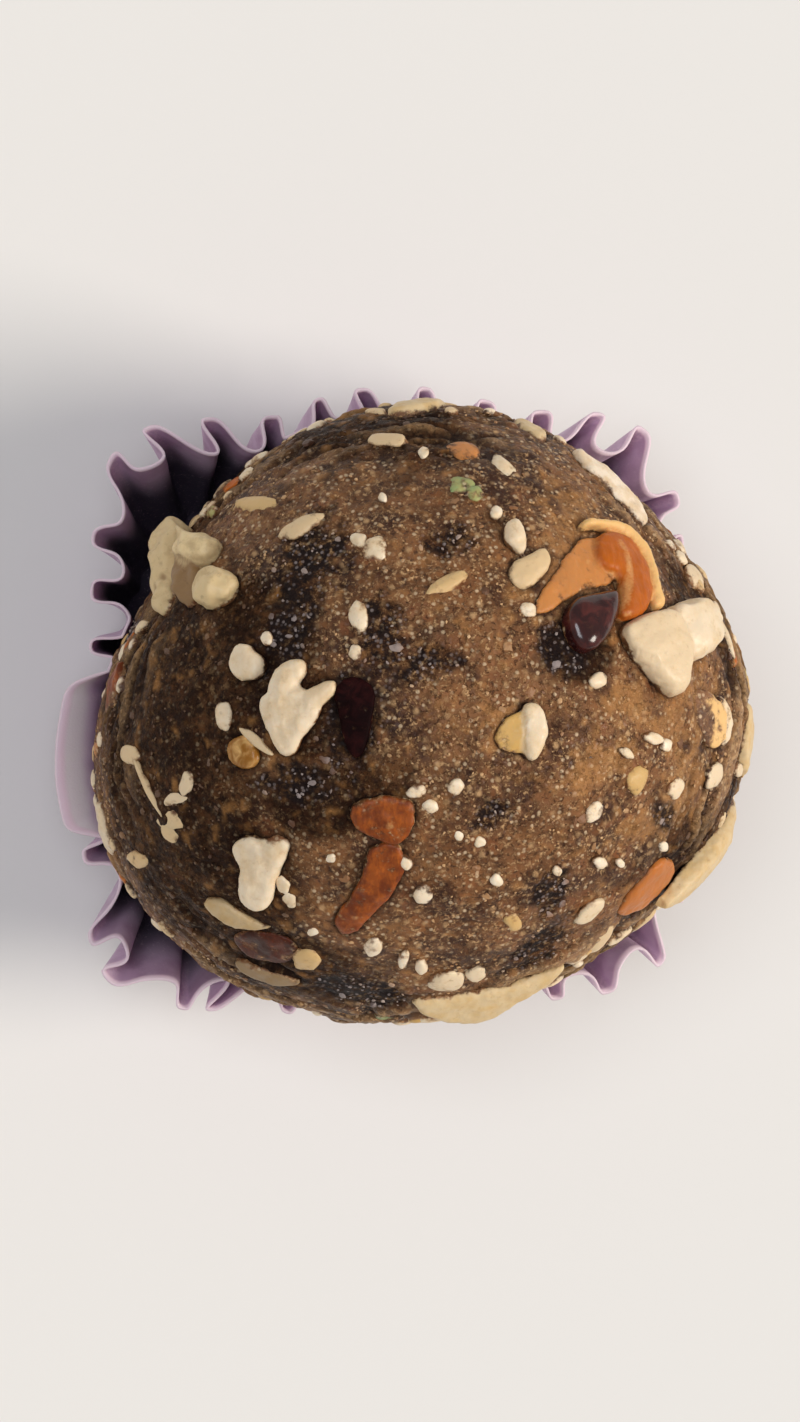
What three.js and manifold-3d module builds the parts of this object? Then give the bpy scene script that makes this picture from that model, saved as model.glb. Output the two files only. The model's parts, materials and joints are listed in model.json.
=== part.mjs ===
// A ladoo: a hand-rolled ball of dates, nuts and seeds that sits in its pleated paper case.
// Millimetres, +Z up. The origin is the middle of the flat underside of the paper case,
// +X is the ball's longer side and the case opens upward.

import * as THREE from 'three';
import { mergeVertices } from 'three/addons/utils/BufferGeometryUtils.js';
import Module from 'manifold-3d';

const wasm = await Module();
wasm.setup();

// ---- driving dimensions ----

const GAP = 0.3; // clearance between two solids that touch in the real sweet

// The ball of dough. Its centre is the middle of its three half sizes.
const BALL_HALF_SIZE = { x: 20.6, y: 18.9, z: 19.3 };
const BALL_CENTRE_HEIGHT = 19.7;
const BALL_FACET_ROWS = 6;
const LUMP_RISE = 0.28; // the gentle unevenness that rolling leaves
const LUMP_PITCH = 5.2; // radians of lump wave over one ball radius

// Where the palms left the ball out of round. Lean is the angle from the top of the ball and
// toward is the compass angle from +X, both in degrees. Spread is the mark's half width.
const PALM_MARKS = [
	{ lean: 98, toward: 157, spread: 34, rise: -2.1 },
	{ lean: 98, toward: -138, spread: 40, rise: 1.2 },
	{ lean: 76, toward: -52, spread: 24, rise: -0.6 },
	{ lean: 80, toward: 40, spread: 24, rise: -0.9 },
];

// The paper case. Its base is round, its rim is squeezed into a square with round corners, and
// its pleats deepen upward. Where the ball presses on the wall, the wall gives way.
const CASE_BASE_RADIUS = 14.4;
const CASE_HEIGHT = 13.3;
const CASE_PAPER = 0.45;
const CASE_WALL_BANDS = 2;
const RIM_HALF_SIZE = { x: 19.6, y: 18.7 }; // to the outer tips of the pleats
const RIM_SQUARENESS = 7; // the power of the rounded square: 2 would be an ellipse
const RIM_LEAN = 0.6; // the rim stands this far out toward -Y
const RIM_WAVE = 0.35;
const PLEATS = 38;
const STEPS_PER_PLEAT = 4;
const FIRST_TIP = 92; // degrees from +X
const PLEAT_DEPTH = 2.4;
const PRESSED_PLEAT_DEPTH = 1.4; // where the ball holds the pleats out
const PLEAT_DEPTH_AT_BASE = 0.15; // as a share of the depth at the rim
const PLEAT_SHARPNESS = 0.8; // below 1 the tips are cusps between round valleys
const PLEAT_VARIETY = 0.18; // how much the depth differs from pleat to pleat
const CLEAR_OF_BALL = 0.65; // the inner face of the wall keeps this off the dough

// One stretch of the wall has had its pleats pulled flat.
const PLAIN_STRETCH = { at: 188, half: 15, bulge: 1.0 };

// What the pieces in the dough are. Flatness below 1 gives flat faces with rounded edges,
// taper narrows the two ends, and follow bends a thin piece along the ball.
const KINDS = {
	walnut: { colour: 0xb79a68, roughness: 0.6, flatness: 0.75, taper: 0, follow: 0.5 },
	nut: { colour: 0xe6cfa6, roughness: 0.55, flatness: 0.7, taper: 0, follow: 0.7 },
	almond: { colour: 0x9a5a2c, roughness: 0.5, flatness: 0.65, taper: 0.2, follow: 0.8 },
	flake: { colour: 0xd9bf93, roughness: 0.6, flatness: 0.5, taper: 0.45, follow: 1 },
	raisin: { colour: 0x2c1618, roughness: 0.28, flatness: 0.9, taper: 0.1, follow: 0.4 },
};

// Every piece as large as a currant. Its place is lean and toward, as for the palm marks, and
// the turn of its long side from the downhill direction. Its size is length, width and depth.
// Proud is how far it stands out of the dough, and lobes are their number and their share.
const PIECES = {
	walnut: [
		{ name: 'walnut_chunk', place: [73, 148, 160], size: [7.8, 6.2, 4.8], proud: 1.2, lobes: [4, 0.12] },
		{ name: 'walnut_right', place: [93, -16, 40], size: [5.2, 4.2, 3.4], proud: 0.6, lobes: [4, 0.12] },
		{ name: 'walnut_back', place: [103, 108, 90], size: [4.4, 3.2, 2.8], proud: 0.3, lobes: [3, 0.12] },
	],
	nut: [
		{ name: 'cashew_lobed', place: [38.6, 172.7, -104], size: [6.4, 4.8, 3.4], proud: 0.5, lobes: [3, 0.2] },
		{ name: 'cashew_round', place: [51.5, 164, 20], size: [2.9, 2.5, 2.2], proud: 0.5, lobes: [3, 0.08] },
		{ name: 'cashew_double', place: [35, 81, -22], size: [5.6, 2.9, 2.8], proud: 0.4, lobes: [2, 0.14] },
		{ name: 'cashew_large', place: [40, 23, 172], size: [8.6, 5.8, 4.4], proud: 1.0, lobes: [3, 0.18] },
		{ name: 'cashew_crown', place: [2.6, 9, 70], size: [3.9, 2.7, 2.6], proud: 0.4, lobes: [2, 0.1] },
		{ name: 'cashew_forked', place: [55, -146.5, 62], size: [5.6, 4.0, 3.0], proud: 0.6, lobes: [3, 0.26] },
		{ name: 'cashew_golden', place: [54, 3, 60], size: [5.2, 3.4, 3.0], proud: 0.6, lobes: [3, 0.12] },
		{ name: 'cashew_back', place: [99, 70, 120], size: [4.4, 3.4, 2.8], proud: 0.4, lobes: [3, 0.16] },
		{ name: 'cashew_front', place: [96, -72, 15], size: [4.4, 3.4, 2.8], proud: 0.4, lobes: [3, 0.14] },
		{ name: 'cashew_left', place: [97, -160, 50], size: [4.2, 3.2, 2.6], proud: 0.4, lobes: [2, 0.16] },
	],
	raisin: [
		{ name: 'raisin_crown', place: [27, 175, 113], size: [5.2, 2.6, 2.4], proud: 0.3, lobes: [2, 0.08] },
		{ name: 'raisin_berry', place: [29, 47, 8], size: [4.8, 3.6, 3.4], proud: 0.7, lobes: [2, 0.05] },
		{ name: 'raisin_golden', place: [49.5, -176, 132], size: [3.0, 2.5, 2.0], proud: 0.3, lobes: [2, 0.05] },
		{ name: 'raisin_right', place: [94, 7, 95], size: [5.2, 3.2, 2.8], proud: 0.4, lobes: [2, 0.06] },
		{ name: 'raisin_front', place: [99, -98, 80], size: [4.6, 3.2, 2.8], proud: 0.3, lobes: [2, 0.06] },
	],
	flake: [
		{ name: 'flake_shoulder', place: [63, 56, -129], size: [7.4, 3.2, 1.4], proud: 0.7, lobes: [2, 0.04] },
		{ name: 'flake_right', place: [68, -28, 52], size: [11.2, 3.2, 1.6], proud: 1.3, lobes: [2, 0.03] },
		{ name: 'flake_front', place: [69, -83, 99], size: [8.4, 3.0, 1.6], proud: 0.9, lobes: [3, 0.05] },
		{ name: 'flake_crescent', place: [68, -140.5, 138], size: [5.2, 2.0, 1.4], proud: 0.5, lobes: [2, 0.06] },
		{ name: 'flake_limb', place: [69, -5, 96], size: [5.0, 2.6, 1.4], proud: 0.6, lobes: [2, 0.05] },
		{ name: 'flake_top', place: [84, 92, -60], size: [5.2, 2.4, 1.4], proud: 0.6, lobes: [3, 0.06] },
		{ name: 'flake_ridge', place: [78, 71, -170], size: [3.8, 2.2, 1.3], proud: 0.4, lobes: [2, 0.05] },
		{ name: 'flake_low', place: [82, -121, 100], size: [5.4, 2.2, 1.4], proud: 0.4, lobes: [2, 0.05] },
		{ name: 'flake_back', place: [99, 48, 95], size: [7.6, 3.0, 1.5], proud: 0.6, lobes: [2, 0.04] },
	],
	almond: [
		{ name: 'almond_gold', place: [42, 51, -137], size: [7.8, 6.4, 3.4], proud: 0.5, lobes: [3, 0.08] },
		{ name: 'almond_upper', place: [28, -144, 168], size: [4.2, 3.1, 2.4], proud: 0.35, lobes: [4, 0.08] },
		{ name: 'almond_lower', place: [43, -127.5, -160], size: [6.8, 3.4, 2.6], proud: 0.4, lobes: [2, 0.05] },
		{ name: 'almond_side', place: [50, -42, 90], size: [4.8, 3.0, 2.4], proud: 0.35, lobes: [2, 0.06] },
		{ name: 'almond_skin', place: [72, -128, 112], size: [4.4, 2.8, 2.2], proud: 0.3, lobes: [2, 0.06] },
		{ name: 'almond_back', place: [93, 28, 100], size: [5.8, 3.6, 2.8], proud: 0.5, lobes: [2, 0.05] },
		{ name: 'almond_left', place: [95, 176, 60], size: [4.8, 3.0, 2.4], proud: 0.2, lobes: [2, 0.06] },
	],
};
const WAIST_DEPTH = 0.3; // the widest level of each piece lies this far under the dough
const LARGE_PIECE = 6.2; // a piece longer than this gets the finer facets
const SOCKET_MARGIN = 1.5 * GAP; // a coarser socket still clears its piece by the gap

const CASE_COLOUR = 0x9d7f9b;
const DOUGH_COLOUR = 0x6b4c33;

// ---- helpers ----

const radians = THREE.MathUtils.degToRad;

function direction(lean, toward) {
	return new THREE.Vector3().setFromSphericalCoords(1, radians(lean), radians(toward + 90))
		.applyAxisAngle(new THREE.Vector3(1, 0, 0), Math.PI / 2);
}

function bareShape(geometry) {
	geometry.deleteAttribute('normal');
	geometry.deleteAttribute('uv');
	return mergeVertices(geometry, 1e-4);
}

function moveVertices(geometry, place) {
	const position = geometry.getAttribute('position');
	const point = new THREE.Vector3();
	for (let i = 0; i < position.count; i ++) {
		place(point.fromBufferAttribute(position, i));
		position.setXYZ(i, point.x, point.y, point.z);
	}
	return geometry;
}

function toSolid(geometry) {
	return new wasm.Manifold(new wasm.Mesh({
		numProp: 3,
		vertProperties: new Float32Array(geometry.getAttribute('position').array),
		triVerts: new Uint32Array(geometry.getIndex().array),
	}));
}

function toGeometry(solid) {
	const mesh = solid.getMesh();
	const geometry = new THREE.BufferGeometry();
	geometry.setAttribute('position', new THREE.BufferAttribute(mesh.vertProperties, 3));
	geometry.setIndex(new THREE.BufferAttribute(mesh.triVerts, 1));
	geometry.computeVertexNormals();
	return geometry;
}

function material(colour, roughness) {
	return new THREE.MeshStandardMaterial({ color: colour, roughness, metalness: 0 });
}

// ---- the ball ----

const markDirections = PALM_MARKS.map((mark) => direction(mark.lean, mark.toward));

// The ball's radius from its centre along a unit direction.
function ballRadius(along) {
	const { x, y, z } = BALL_HALF_SIZE;
	let radius = 1 / Math.hypot(along.x / x, along.y / y, along.z / z);
	PALM_MARKS.forEach((mark, i) => {
		const away = along.angleTo(markDirections[i]) / radians(mark.spread);
		radius += mark.rise * Math.exp(- away * away);
	});
	const wave = Math.sin(LUMP_PITCH * along.x + 1.2) + Math.sin(LUMP_PITCH * along.y + 2.9)
		+ Math.sin(1.3 * LUMP_PITCH * along.z + 0.4);
	return radius + LUMP_RISE * wave / 3;
}

// The dough as it was rolled, with the small flat that it settles on, centred on its own middle.
function plainBall() {
	const flat = CASE_PAPER + GAP - BALL_CENTRE_HEIGHT;
	const geometry = bareShape(new THREE.IcosahedronGeometry(1, BALL_FACET_ROWS));
	return moveVertices(geometry, (point) => {
		point.multiplyScalar(ballRadius(point.clone().normalize()));
		point.z = Math.max(point.z, flat);
	});
}

// ---- the pieces in the dough ----

// A piece lying flat: length along X, width along Y, depth along Z, with its widest level at
// zero. Grown by a margin all round, the same shape is the socket that holds it.
function pieceShape(piece, kind, margin, detail) {
	const [length, width, depth] = piece.size;
	const [lobes, lobed] = piece.lobes;
	const above = piece.proud + WAIST_DEPTH;
	const below = depth - above;
	const geometry = bareShape(new THREE.IcosahedronGeometry(1, detail));
	return moveVertices(geometry, (point) => {
		point.normalize();
		const outward = Math.hypot(point.x, point.y);
		const outline = 1 + lobed * outward * Math.cos(lobes * Math.atan2(point.y, point.x));
		const narrowing = 1 - kind.taper * point.x * point.x;
		const flattened = Math.sign(point.z) * Math.abs(point.z) ** kind.flatness;
		point.x *= outline * (length / 2 + margin);
		point.y *= outline * narrowing * (width / 2 + margin);
		point.z = flattened * ((point.z > 0 ? above : below) + margin);
		point.z -= kind.follow * (point.x ** 2 + point.y ** 2) / (2 * BALL_HALF_SIZE.y);
	});
}

// Stands the piece on the ball: turned about the ball's axis, leant from its top, then turned
// in its own plane with its widest level just under the dough.
function placePiece(piece, mesh) {
	const [lean, toward, turn] = piece.place;
	const compass = new THREE.Group();
	const tilt = new THREE.Group();
	compass.rotation.z = radians(toward);
	tilt.rotation.y = radians(lean);
	mesh.position.z = ballRadius(direction(lean, toward)) - WAIST_DEPTH;
	mesh.rotation.z = radians(turn);
	compass.add(tilt);
	tilt.add(mesh);
	return compass;
}

function makePieces(ball) {
	const made = [];
	for (const [kindName, pieces] of Object.entries(PIECES)) {
		const kind = KINDS[kindName];
		for (const piece of pieces) {
			const detail = piece.size[0] > LARGE_PIECE ? 2 : 1;
			const shape = pieceShape(piece, kind, 0, detail);
			const mesh = new THREE.Mesh(shape, material(kind.colour, kind.roughness));
			mesh.name = piece.name;
			ball.add(placePiece(piece, mesh));
			made.push({ mesh, socket: pieceShape(piece, kind, SOCKET_MARGIN, 1) });
		}
	}
	ball.updateMatrixWorld(true);
	return made;
}

// What is left of a solid that is placed by one matrix, once sockets placed by others are cut
// out of it. A crumb that a cut sets free is dropped.
function cutSockets(geometry, matrix, neighbours) {
	const back = matrix.clone().invert();
	const sockets = neighbours.map(({ mesh, socket }) => toSolid(
		socket.clone().applyMatrix4(new THREE.Matrix4().multiplyMatrices(back, mesh.matrixWorld)),
	));
	const bodies = sockets.reduce((solid, socket) => solid.subtract(socket), toSolid(geometry)).decompose();
	bodies.sort((first, second) => second.volume() - first.volume());
	return toGeometry(bodies[0]);
}

function makeBall() {
	const ball = new THREE.Group();
	const dough = new THREE.Mesh(plainBall(), material(DOUGH_COLOUR, 0.6));
	dough.name = 'ladoo';
	ball.add(dough);
	const pieces = makePieces(ball);
	dough.geometry = cutSockets(dough.geometry, dough.matrixWorld, pieces);
	pieces.forEach(({ mesh }, i) => {
		mesh.geometry = cutSockets(mesh.geometry, mesh.matrixWorld, pieces.slice(0, i));
	});
	ball.position.z = BALL_CENTRE_HEIGHT;
	return ball;
}

// ---- the paper case ----

// How far out a pleat stands at an angle round the case: 1 on its tip and 0 in the valley.
function pleatWave(around) {
	const turns = (around - FIRST_TIP) * PLEATS / 360;
	return 1 - Math.abs(Math.sin(Math.PI * turns)) ** PLEAT_SHARPNESS;
}

// 1 in the middle of the plain stretch, falling to 0 past its ends.
function plainness(around) {
	const away = THREE.MathUtils.euclideanModulo(around - PLAIN_STRETCH.at + 180, 360) - 180;
	return Math.exp(- ((away / PLAIN_STRETCH.half) ** 4));
}

// The ball's radius from its upright axis at the height of the rim.
function ballReach(around) {
	const below = Math.asin((BALL_CENTRE_HEIGHT - CASE_HEIGHT) / BALL_HALF_SIZE.z);
	const lean = 90 + THREE.MathUtils.radToDeg(below);
	return ballRadius(direction(lean, around)) * Math.sin(radians(lean));
}

// How far out the tips stand at the rim, from the upright axis.
function tipRadius(around) {
	const { x, y } = RIM_HALF_SIZE;
	const across = Math.abs(Math.cos(radians(around)) / x) ** RIM_SQUARENESS;
	const along = Math.abs(Math.sin(radians(around)) / y) ** RIM_SQUARENESS;
	const square = (across + along) ** (- 1 / RIM_SQUARENESS) - RIM_LEAN * Math.sin(radians(around));
	const pressed = ballReach(around) + CLEAR_OF_BALL + PRESSED_PLEAT_DEPTH;
	return Math.max(square, pressed) + PLAIN_STRETCH.bulge * plainness(around);
}

// The case starts as a lathed cup: underside, straight outer wall, rim, inner wall and floor.
function cupProfile() {
	const outer = [];
	const inner = [];
	for (let band = 0; band <= CASE_WALL_BANDS; band ++) {
		const height = CASE_HEIGHT * band / CASE_WALL_BANDS;
		outer.push(new THREE.Vector2(CASE_BASE_RADIUS, height));
		inner.unshift(new THREE.Vector2(CASE_BASE_RADIUS - CASE_PAPER, Math.max(height, CASE_PAPER)));
	}
	return [new THREE.Vector2(0, 0), ...outer, ...inner, new THREE.Vector2(0, CASE_PAPER)];
}

// Flares the upright wall out to the rim and pleats it.
function pleatWall(point) {
	const radius = Math.hypot(point.x, point.y);
	const around = THREE.MathUtils.radToDeg(Math.atan2(point.y, point.x));
	const up = point.z / CASE_HEIGHT;
	const variety = 1 + PLEAT_VARIETY * Math.sin(radians(9 * around) + 0.7);
	const depthShare = PLEAT_DEPTH_AT_BASE + (1 - PLEAT_DEPTH_AT_BASE) * up;
	const depth = PLEAT_DEPTH * variety * depthShare * (1 - plainness(around));
	const flare = up * (tipRadius(around) - CASE_BASE_RADIUS);
	const pleated = radius + flare - depth * (1 - pleatWave(around));
	point.x *= pleated / radius;
	point.y *= pleated / radius;
	point.z += RIM_WAVE * up * up * Math.sin(radians(3 * around) + 1);
}

// Moves a point of the wall straight outward until it clears the ball.
function keepOffBall(point, clearance) {
	const fromCentre = point.clone().sub(new THREE.Vector3(0, 0, BALL_CENTRE_HEIGHT));
	const distance = fromCentre.length();
	const needed = ballRadius(fromCentre.clone().divideScalar(distance)) + clearance;
	if (distance >= needed) return;
	const radius = Math.hypot(point.x, point.y);
	const push = (needed - distance) * distance / (radius * radius);
	point.x += point.x * push;
	point.y += point.y * push;
}

function makeCase() {
	const firstStep = radians(FIRST_TIP + 90);
	const lathe = new THREE.LatheGeometry(cupProfile(), PLEATS * STEPS_PER_PLEAT, firstStep);
	const geometry = bareShape(lathe.rotateX(Math.PI / 2));
	moveVertices(geometry, (point) => {
		const radius = Math.hypot(point.x, point.y);
		if (radius < CASE_BASE_RADIUS / 2) return;
		const outside = radius > CASE_BASE_RADIUS - CASE_PAPER / 2;
		pleatWall(point);
		if (point.z > CASE_PAPER) keepOffBall(point, CLEAR_OF_BALL + (outside ? CASE_PAPER : 0));
	});
	const mesh = new THREE.Mesh(geometry, material(CASE_COLOUR, 0.75));
	mesh.name = 'paper_case';
	return mesh;
}

// ---- the whole sweet ----

const group = new THREE.Group();
group.add(makeCase());
group.add(makeBall());

export default group;
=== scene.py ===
"""A ladoo in its pleated paper case: the finish of every surface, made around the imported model.

Lengths inside the functions are millimetres, in the model's own frame. Each mesh is scaled to
metres when it becomes an object.
"""

import json
import math
import random
from collections import namedtuple

import bmesh
import bpy
import numpy as np
from bpy.props import FloatProperty, FloatVectorProperty, IntProperty, PointerProperty
from mathutils import Matrix, Vector, noise
from mathutils.bvhtree import BVHTree
from mathutils.kdtree import KDTree

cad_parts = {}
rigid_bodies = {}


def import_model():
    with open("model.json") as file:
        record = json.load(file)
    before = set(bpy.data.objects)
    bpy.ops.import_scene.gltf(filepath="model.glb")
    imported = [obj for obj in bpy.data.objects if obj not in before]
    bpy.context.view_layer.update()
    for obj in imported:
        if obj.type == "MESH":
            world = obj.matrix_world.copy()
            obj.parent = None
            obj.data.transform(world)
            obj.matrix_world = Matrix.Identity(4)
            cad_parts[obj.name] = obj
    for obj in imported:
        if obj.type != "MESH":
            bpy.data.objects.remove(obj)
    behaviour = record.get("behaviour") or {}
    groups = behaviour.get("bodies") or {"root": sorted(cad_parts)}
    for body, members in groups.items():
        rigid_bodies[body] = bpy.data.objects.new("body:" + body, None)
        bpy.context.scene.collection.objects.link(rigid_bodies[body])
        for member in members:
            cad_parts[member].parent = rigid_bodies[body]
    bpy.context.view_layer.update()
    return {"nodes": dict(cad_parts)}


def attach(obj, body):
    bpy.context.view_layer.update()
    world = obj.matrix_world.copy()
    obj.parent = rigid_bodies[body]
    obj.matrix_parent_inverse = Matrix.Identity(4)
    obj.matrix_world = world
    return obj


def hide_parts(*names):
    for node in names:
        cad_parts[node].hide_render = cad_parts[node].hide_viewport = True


bl_info = {
    "name": "Ladoo in a paper case",
    "version": (1, 0, 0),
    "blender": (4, 5, 0),
    "location": "3D View > Sidebar > Ladoo",
    "description": "Makes the dough, nuts, fruit, seeds and paper case of a hand-rolled ladoo",
    "category": "Object",
}

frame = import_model()

MM = 0.001
BODY = "root"
DOUGH_SEED, BITS_SEED, CASE_SEED, NOISE_SEED = 11, 23, 5, 7


def srgb(red, green, blue):
    """A colour given as it looks, 0 to 255, as the linear colour that a shader takes."""
    shares = [channel / 255 for channel in (red, green, blue)]
    return tuple(s / 12.92 if s <= 0.04045 else ((s + 0.055) / 1.055) ** 2.4 for s in shares)


# ---- the ball, as the model has it ----

BALL_HALF_SIZE = np.array([20.6, 18.9, 19.3])
BALL_MIDDLE = np.array([0.0, 0.0, 19.7])

# Low lumps all over the ball: how high they are, how close they lie along each axis, and where
# each axis starts them.
LUMP_RISE = 0.28
LUMP_PITCH = 5.2 * np.array([1, 1, 1.3])
LUMP_START = np.array([1.2, 2.9, 0.4])

# What the palms left: its lean from the top, compass angle from +X, spread and rise.
PALM_MARKS = [
    (98, 157, 34, -2.1),
    (98, -138, 40, 1.2),
    (76, -52, 24, -0.6),
    (80, 40, 24, -0.9),
]
SLOPE_STEP = 0.05


def cosine_and_sine(degrees):
    angle = math.radians(degrees)
    return math.cos(angle), math.sin(angle)


def direction(lean, toward):
    """The unit vector at an angle from straight up, toward a compass angle from +X."""
    upright, level = cosine_and_sine(lean)
    cosine, sine = cosine_and_sine(toward)
    return np.array([level * cosine, level * sine, upright])


def ball_radius(ways):
    """The ball's radius along unit vectors, one in each row."""
    radius = 1 / np.linalg.norm(ways / BALL_HALF_SIZE, axis=1)
    for lean, toward, spread, rise in PALM_MARKS:
        away = np.arccos(np.clip(ways @ direction(lean, toward), -1, 1))
        radius += rise * np.exp(-((away / math.radians(spread)) ** 2))
    return radius + LUMP_RISE * np.sin(ways * LUMP_PITCH + LUMP_START).mean(axis=1)


def ways_from_middle(points):
    """The unit vectors from the ball's middle to points, and how far off the points are."""
    offsets = points - BALL_MIDDLE
    distances = np.linalg.norm(offsets, axis=1)
    return offsets / distances[:, None], distances


def height_over_ball(points):
    """How far points stand outside the smooth ball; inside it they count as negative."""
    ways, distances = ways_from_middle(np.atleast_2d(points))
    return distances - ball_radius(ways)


def way_out(point):
    """The unit vector square to the ball's surface at a point near it."""
    shifts = SLOPE_STEP * np.eye(3)
    slope = height_over_ball(point + shifts) - height_over_ball(point - shifts)
    return slope / np.linalg.norm(slope)


# ---- how the picture looks at the sweet ----

# The viewer looks down on the ball, from so many degrees left of straight above and behind it.
TURN_LEFT = 16.5
TURN_BACK = 4.6
LEFT_COSINE, LEFT_SINE = cosine_and_sine(TURN_LEFT)
BACK_COSINE, BACK_SINE = cosine_and_sine(TURN_BACK)

# The ways from the ball to the viewer, to the picture's right and to its top.
SIGHT = np.array([-LEFT_SINE * BACK_COSINE, BACK_SINE, LEFT_COSINE * BACK_COSINE])
ACROSS = np.array([LEFT_COSINE, 0.0, LEFT_SINE])
UPWARD = np.cross(SIGHT, ACROSS)
EYE_DISTANCE = 635.0
STEPS_OF_SIGHT = 400  # tried along a line of sight to find the ball
ROOM_FOR_BALL = 3  # how far outside the ball that line starts and ends
LEAST_FACING = 0.3  # no place is drawn out more than one that faces the viewer this little

Seen = namedtuple("Seen", "point out right up")


def seen_place(right, up, turned=0.0):
    """The place on the ball that the picture shows right of and above the ball's middle.

    Its right and up run along the surface, and each looks one millimetre long. A place off the
    edge of the ball becomes the nearest one on it. Turned tilts the place toward the viewer.
    """
    eye = BALL_MIDDLE + SIGHT * EYE_DISTANCE
    ray = BALL_MIDDLE + ACROSS * right + UPWARD * up - eye
    ray /= np.linalg.norm(ray)
    reach = BALL_HALF_SIZE.max() + ROOM_FOR_BALL
    steps = np.linspace(EYE_DISTANCE - reach, EYE_DISTANCE + reach, STEPS_OF_SIGHT)
    heights = height_over_ball(eye + steps[:, None] * ray)
    inside = np.flatnonzero(heights < 0)
    if len(inside):
        far = inside[0]
        share = heights[far - 1] / (heights[far - 1] - heights[far])
        step = steps[far - 1] + share * (steps[far] - steps[far - 1])
    else:
        step = steps[heights.argmin()]
    point = eye + step * ray
    out = way_out(point)
    point = point - out * height_over_ball(point)
    out = out + turned * SIGHT
    out /= np.linalg.norm(out)
    facing = max(float(-ray @ out), LEAST_FACING)
    along = [way - ray * (way @ out) / -facing for way in (ACROSS, UPWARD)]
    along = [way - out * (way @ out) for way in along]
    return Seen(point, out, *along)


def hidden_place(lean, toward, turn):
    """The place at an angle from the top, as the model gives it, with right along its turn."""
    way = direction(lean, toward)
    point = BALL_MIDDLE + way * ball_radius(way[None, :])[0]
    out = way_out(point)
    downhill = direction(lean + 90, toward)
    sideways = np.cross(out, downhill)
    cosine, sine = cosine_and_sine(turn)
    right = cosine * downhill + sine * sideways
    right -= out * (right @ out)
    right /= np.linalg.norm(right)
    return Seen(point, out, right, np.cross(out, right))


# ---- meshes ----


def unit_ball(rounds):
    """Vertices and faces of a round ball of radius 1."""
    mesh = bmesh.new()
    bmesh.ops.create_icosphere(mesh, subdivisions=rounds, radius=1)
    vertices = np.array([v.co for v in mesh.verts])
    faces = np.array([[v.index for v in face.verts] for face in mesh.faces])
    mesh.free()
    return vertices, faces


COARSE, MEDIUM, FINE = (unit_ball(rounds) for rounds in (1, 2, 3))


def new_object(name, vertices, faces, values=None):
    """A mesh object from millimetre vertices. Values are named numbers, one for each vertex."""
    if name in bpy.data.objects:
        bpy.data.objects.remove(bpy.data.objects[name])
    mesh = bpy.data.meshes.new(name)
    faces = faces.tolist() if isinstance(faces, np.ndarray) else faces
    mesh.from_pydata((np.asarray(vertices) * MM).tolist(), [], faces)
    for label, numbers in (values or {}).items():
        store(mesh, label, numbers)
    made = bpy.data.objects.new(name, mesh)
    bpy.context.scene.collection.objects.link(made)
    return made


def store(mesh, label, numbers):
    """Keeps a number for each vertex, under a label that materials can read."""
    attribute = mesh.attributes.get(label) or mesh.attributes.new(label, "FLOAT", "POINT")
    attribute.data.foreach_set("value", np.asarray(numbers, np.float32))


def stored(mesh, label):
    numbers = np.empty(len(mesh.vertices))
    mesh.attributes[label].data.foreach_get("value", numbers)
    return numbers


def places_of(mesh):
    """A mesh's vertices in millimetres."""
    numbers = np.empty(3 * len(mesh.vertices))
    mesh.vertices.foreach_get("co", numbers)
    return numbers.reshape(-1, 3) / MM


def normals_of(mesh):
    numbers = np.empty(3 * len(mesh.vertices))
    mesh.vertices.foreach_get("normal", numbers)
    return numbers.reshape(-1, 3)


def move_vertices(mesh, places):
    mesh.vertices.foreach_set("co", (places * MM).astype(np.float32).ravel())
    mesh.update()


def apply_modifiers(shape):
    """Makes what an object's modifiers show its own mesh."""
    seen = shape.evaluated_get(bpy.context.evaluated_depsgraph_get())
    finished = bpy.data.meshes.new_from_object(seen)
    finished.name = shape.name
    shape.modifiers.clear()
    old = shape.data
    shape.data = finished
    bpy.data.meshes.remove(old)


def shade_smooth(shape):
    shape.data.polygons.foreach_set("use_smooth", [True] * len(shape.data.polygons))


def finish_piece(shape, material, slot, replaced=()):
    """Gives a piece its material, joins it to what it moves with, and hides the parts it replaces.
    """
    shape.data.materials.clear()
    shape.data.materials.append(material)
    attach(shape, BODY)
    if replaced:
        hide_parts(*replaced)


class Pile:
    """Many small closed shapes that become one mesh, with numbers for each shape."""

    def __init__(self):
        self.vertices = []
        self.faces = []
        self.values = {}
        self.count = 0

    def add(self, vertices, faces, **values):
        self.vertices.append(vertices)
        self.faces.append(faces + self.count)
        self.count += len(vertices)
        for label, number in values.items():
            self.values.setdefault(label, []).append(np.full(len(vertices), number))

    def to_object(self, name):
        values = {label: np.concatenate(parts) for label, parts in self.values.items()}
        return new_object(name, np.concatenate(self.vertices), np.concatenate(self.faces), values)


# ---- shapes in the dough ----

# An ellipse on the dough: its middle and half sizes as the picture shows them, how far its long
# side turns from right, and its tone.
Lump = namedtuple("Lump", "right up long short slant tone", defaults=(0.0, 0.0))
FLATTENED = 0.6  # below 1 a lump has a flat top and steep sides
LEAST_SHOWN = 0.35  # the least of its size that a thick shape is drawn out for


def drawn_out(place, size, thick):
    """The place's right and up, long enough that a shape of this size looks its true size.

    Near the edge of the ball a chunky shape shows its own thickness, so it is drawn out less
    along the surface than a thin one.
    """
    both = np.column_stack([place.right, place.up])
    frames, stretches, turns = np.linalg.svd(both, full_matrices=False)
    tilt = math.sqrt(max(0.0, 1 - 1 / stretches[0] ** 2))
    shown = math.sqrt(max(size ** 2 - (thick * tilt) ** 2, (LEAST_SHOWN * size) ** 2)) / size
    stretches[0] = 1 + (stretches[0] - 1) * shown
    return frames @ np.diag(stretches) @ turns


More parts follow.
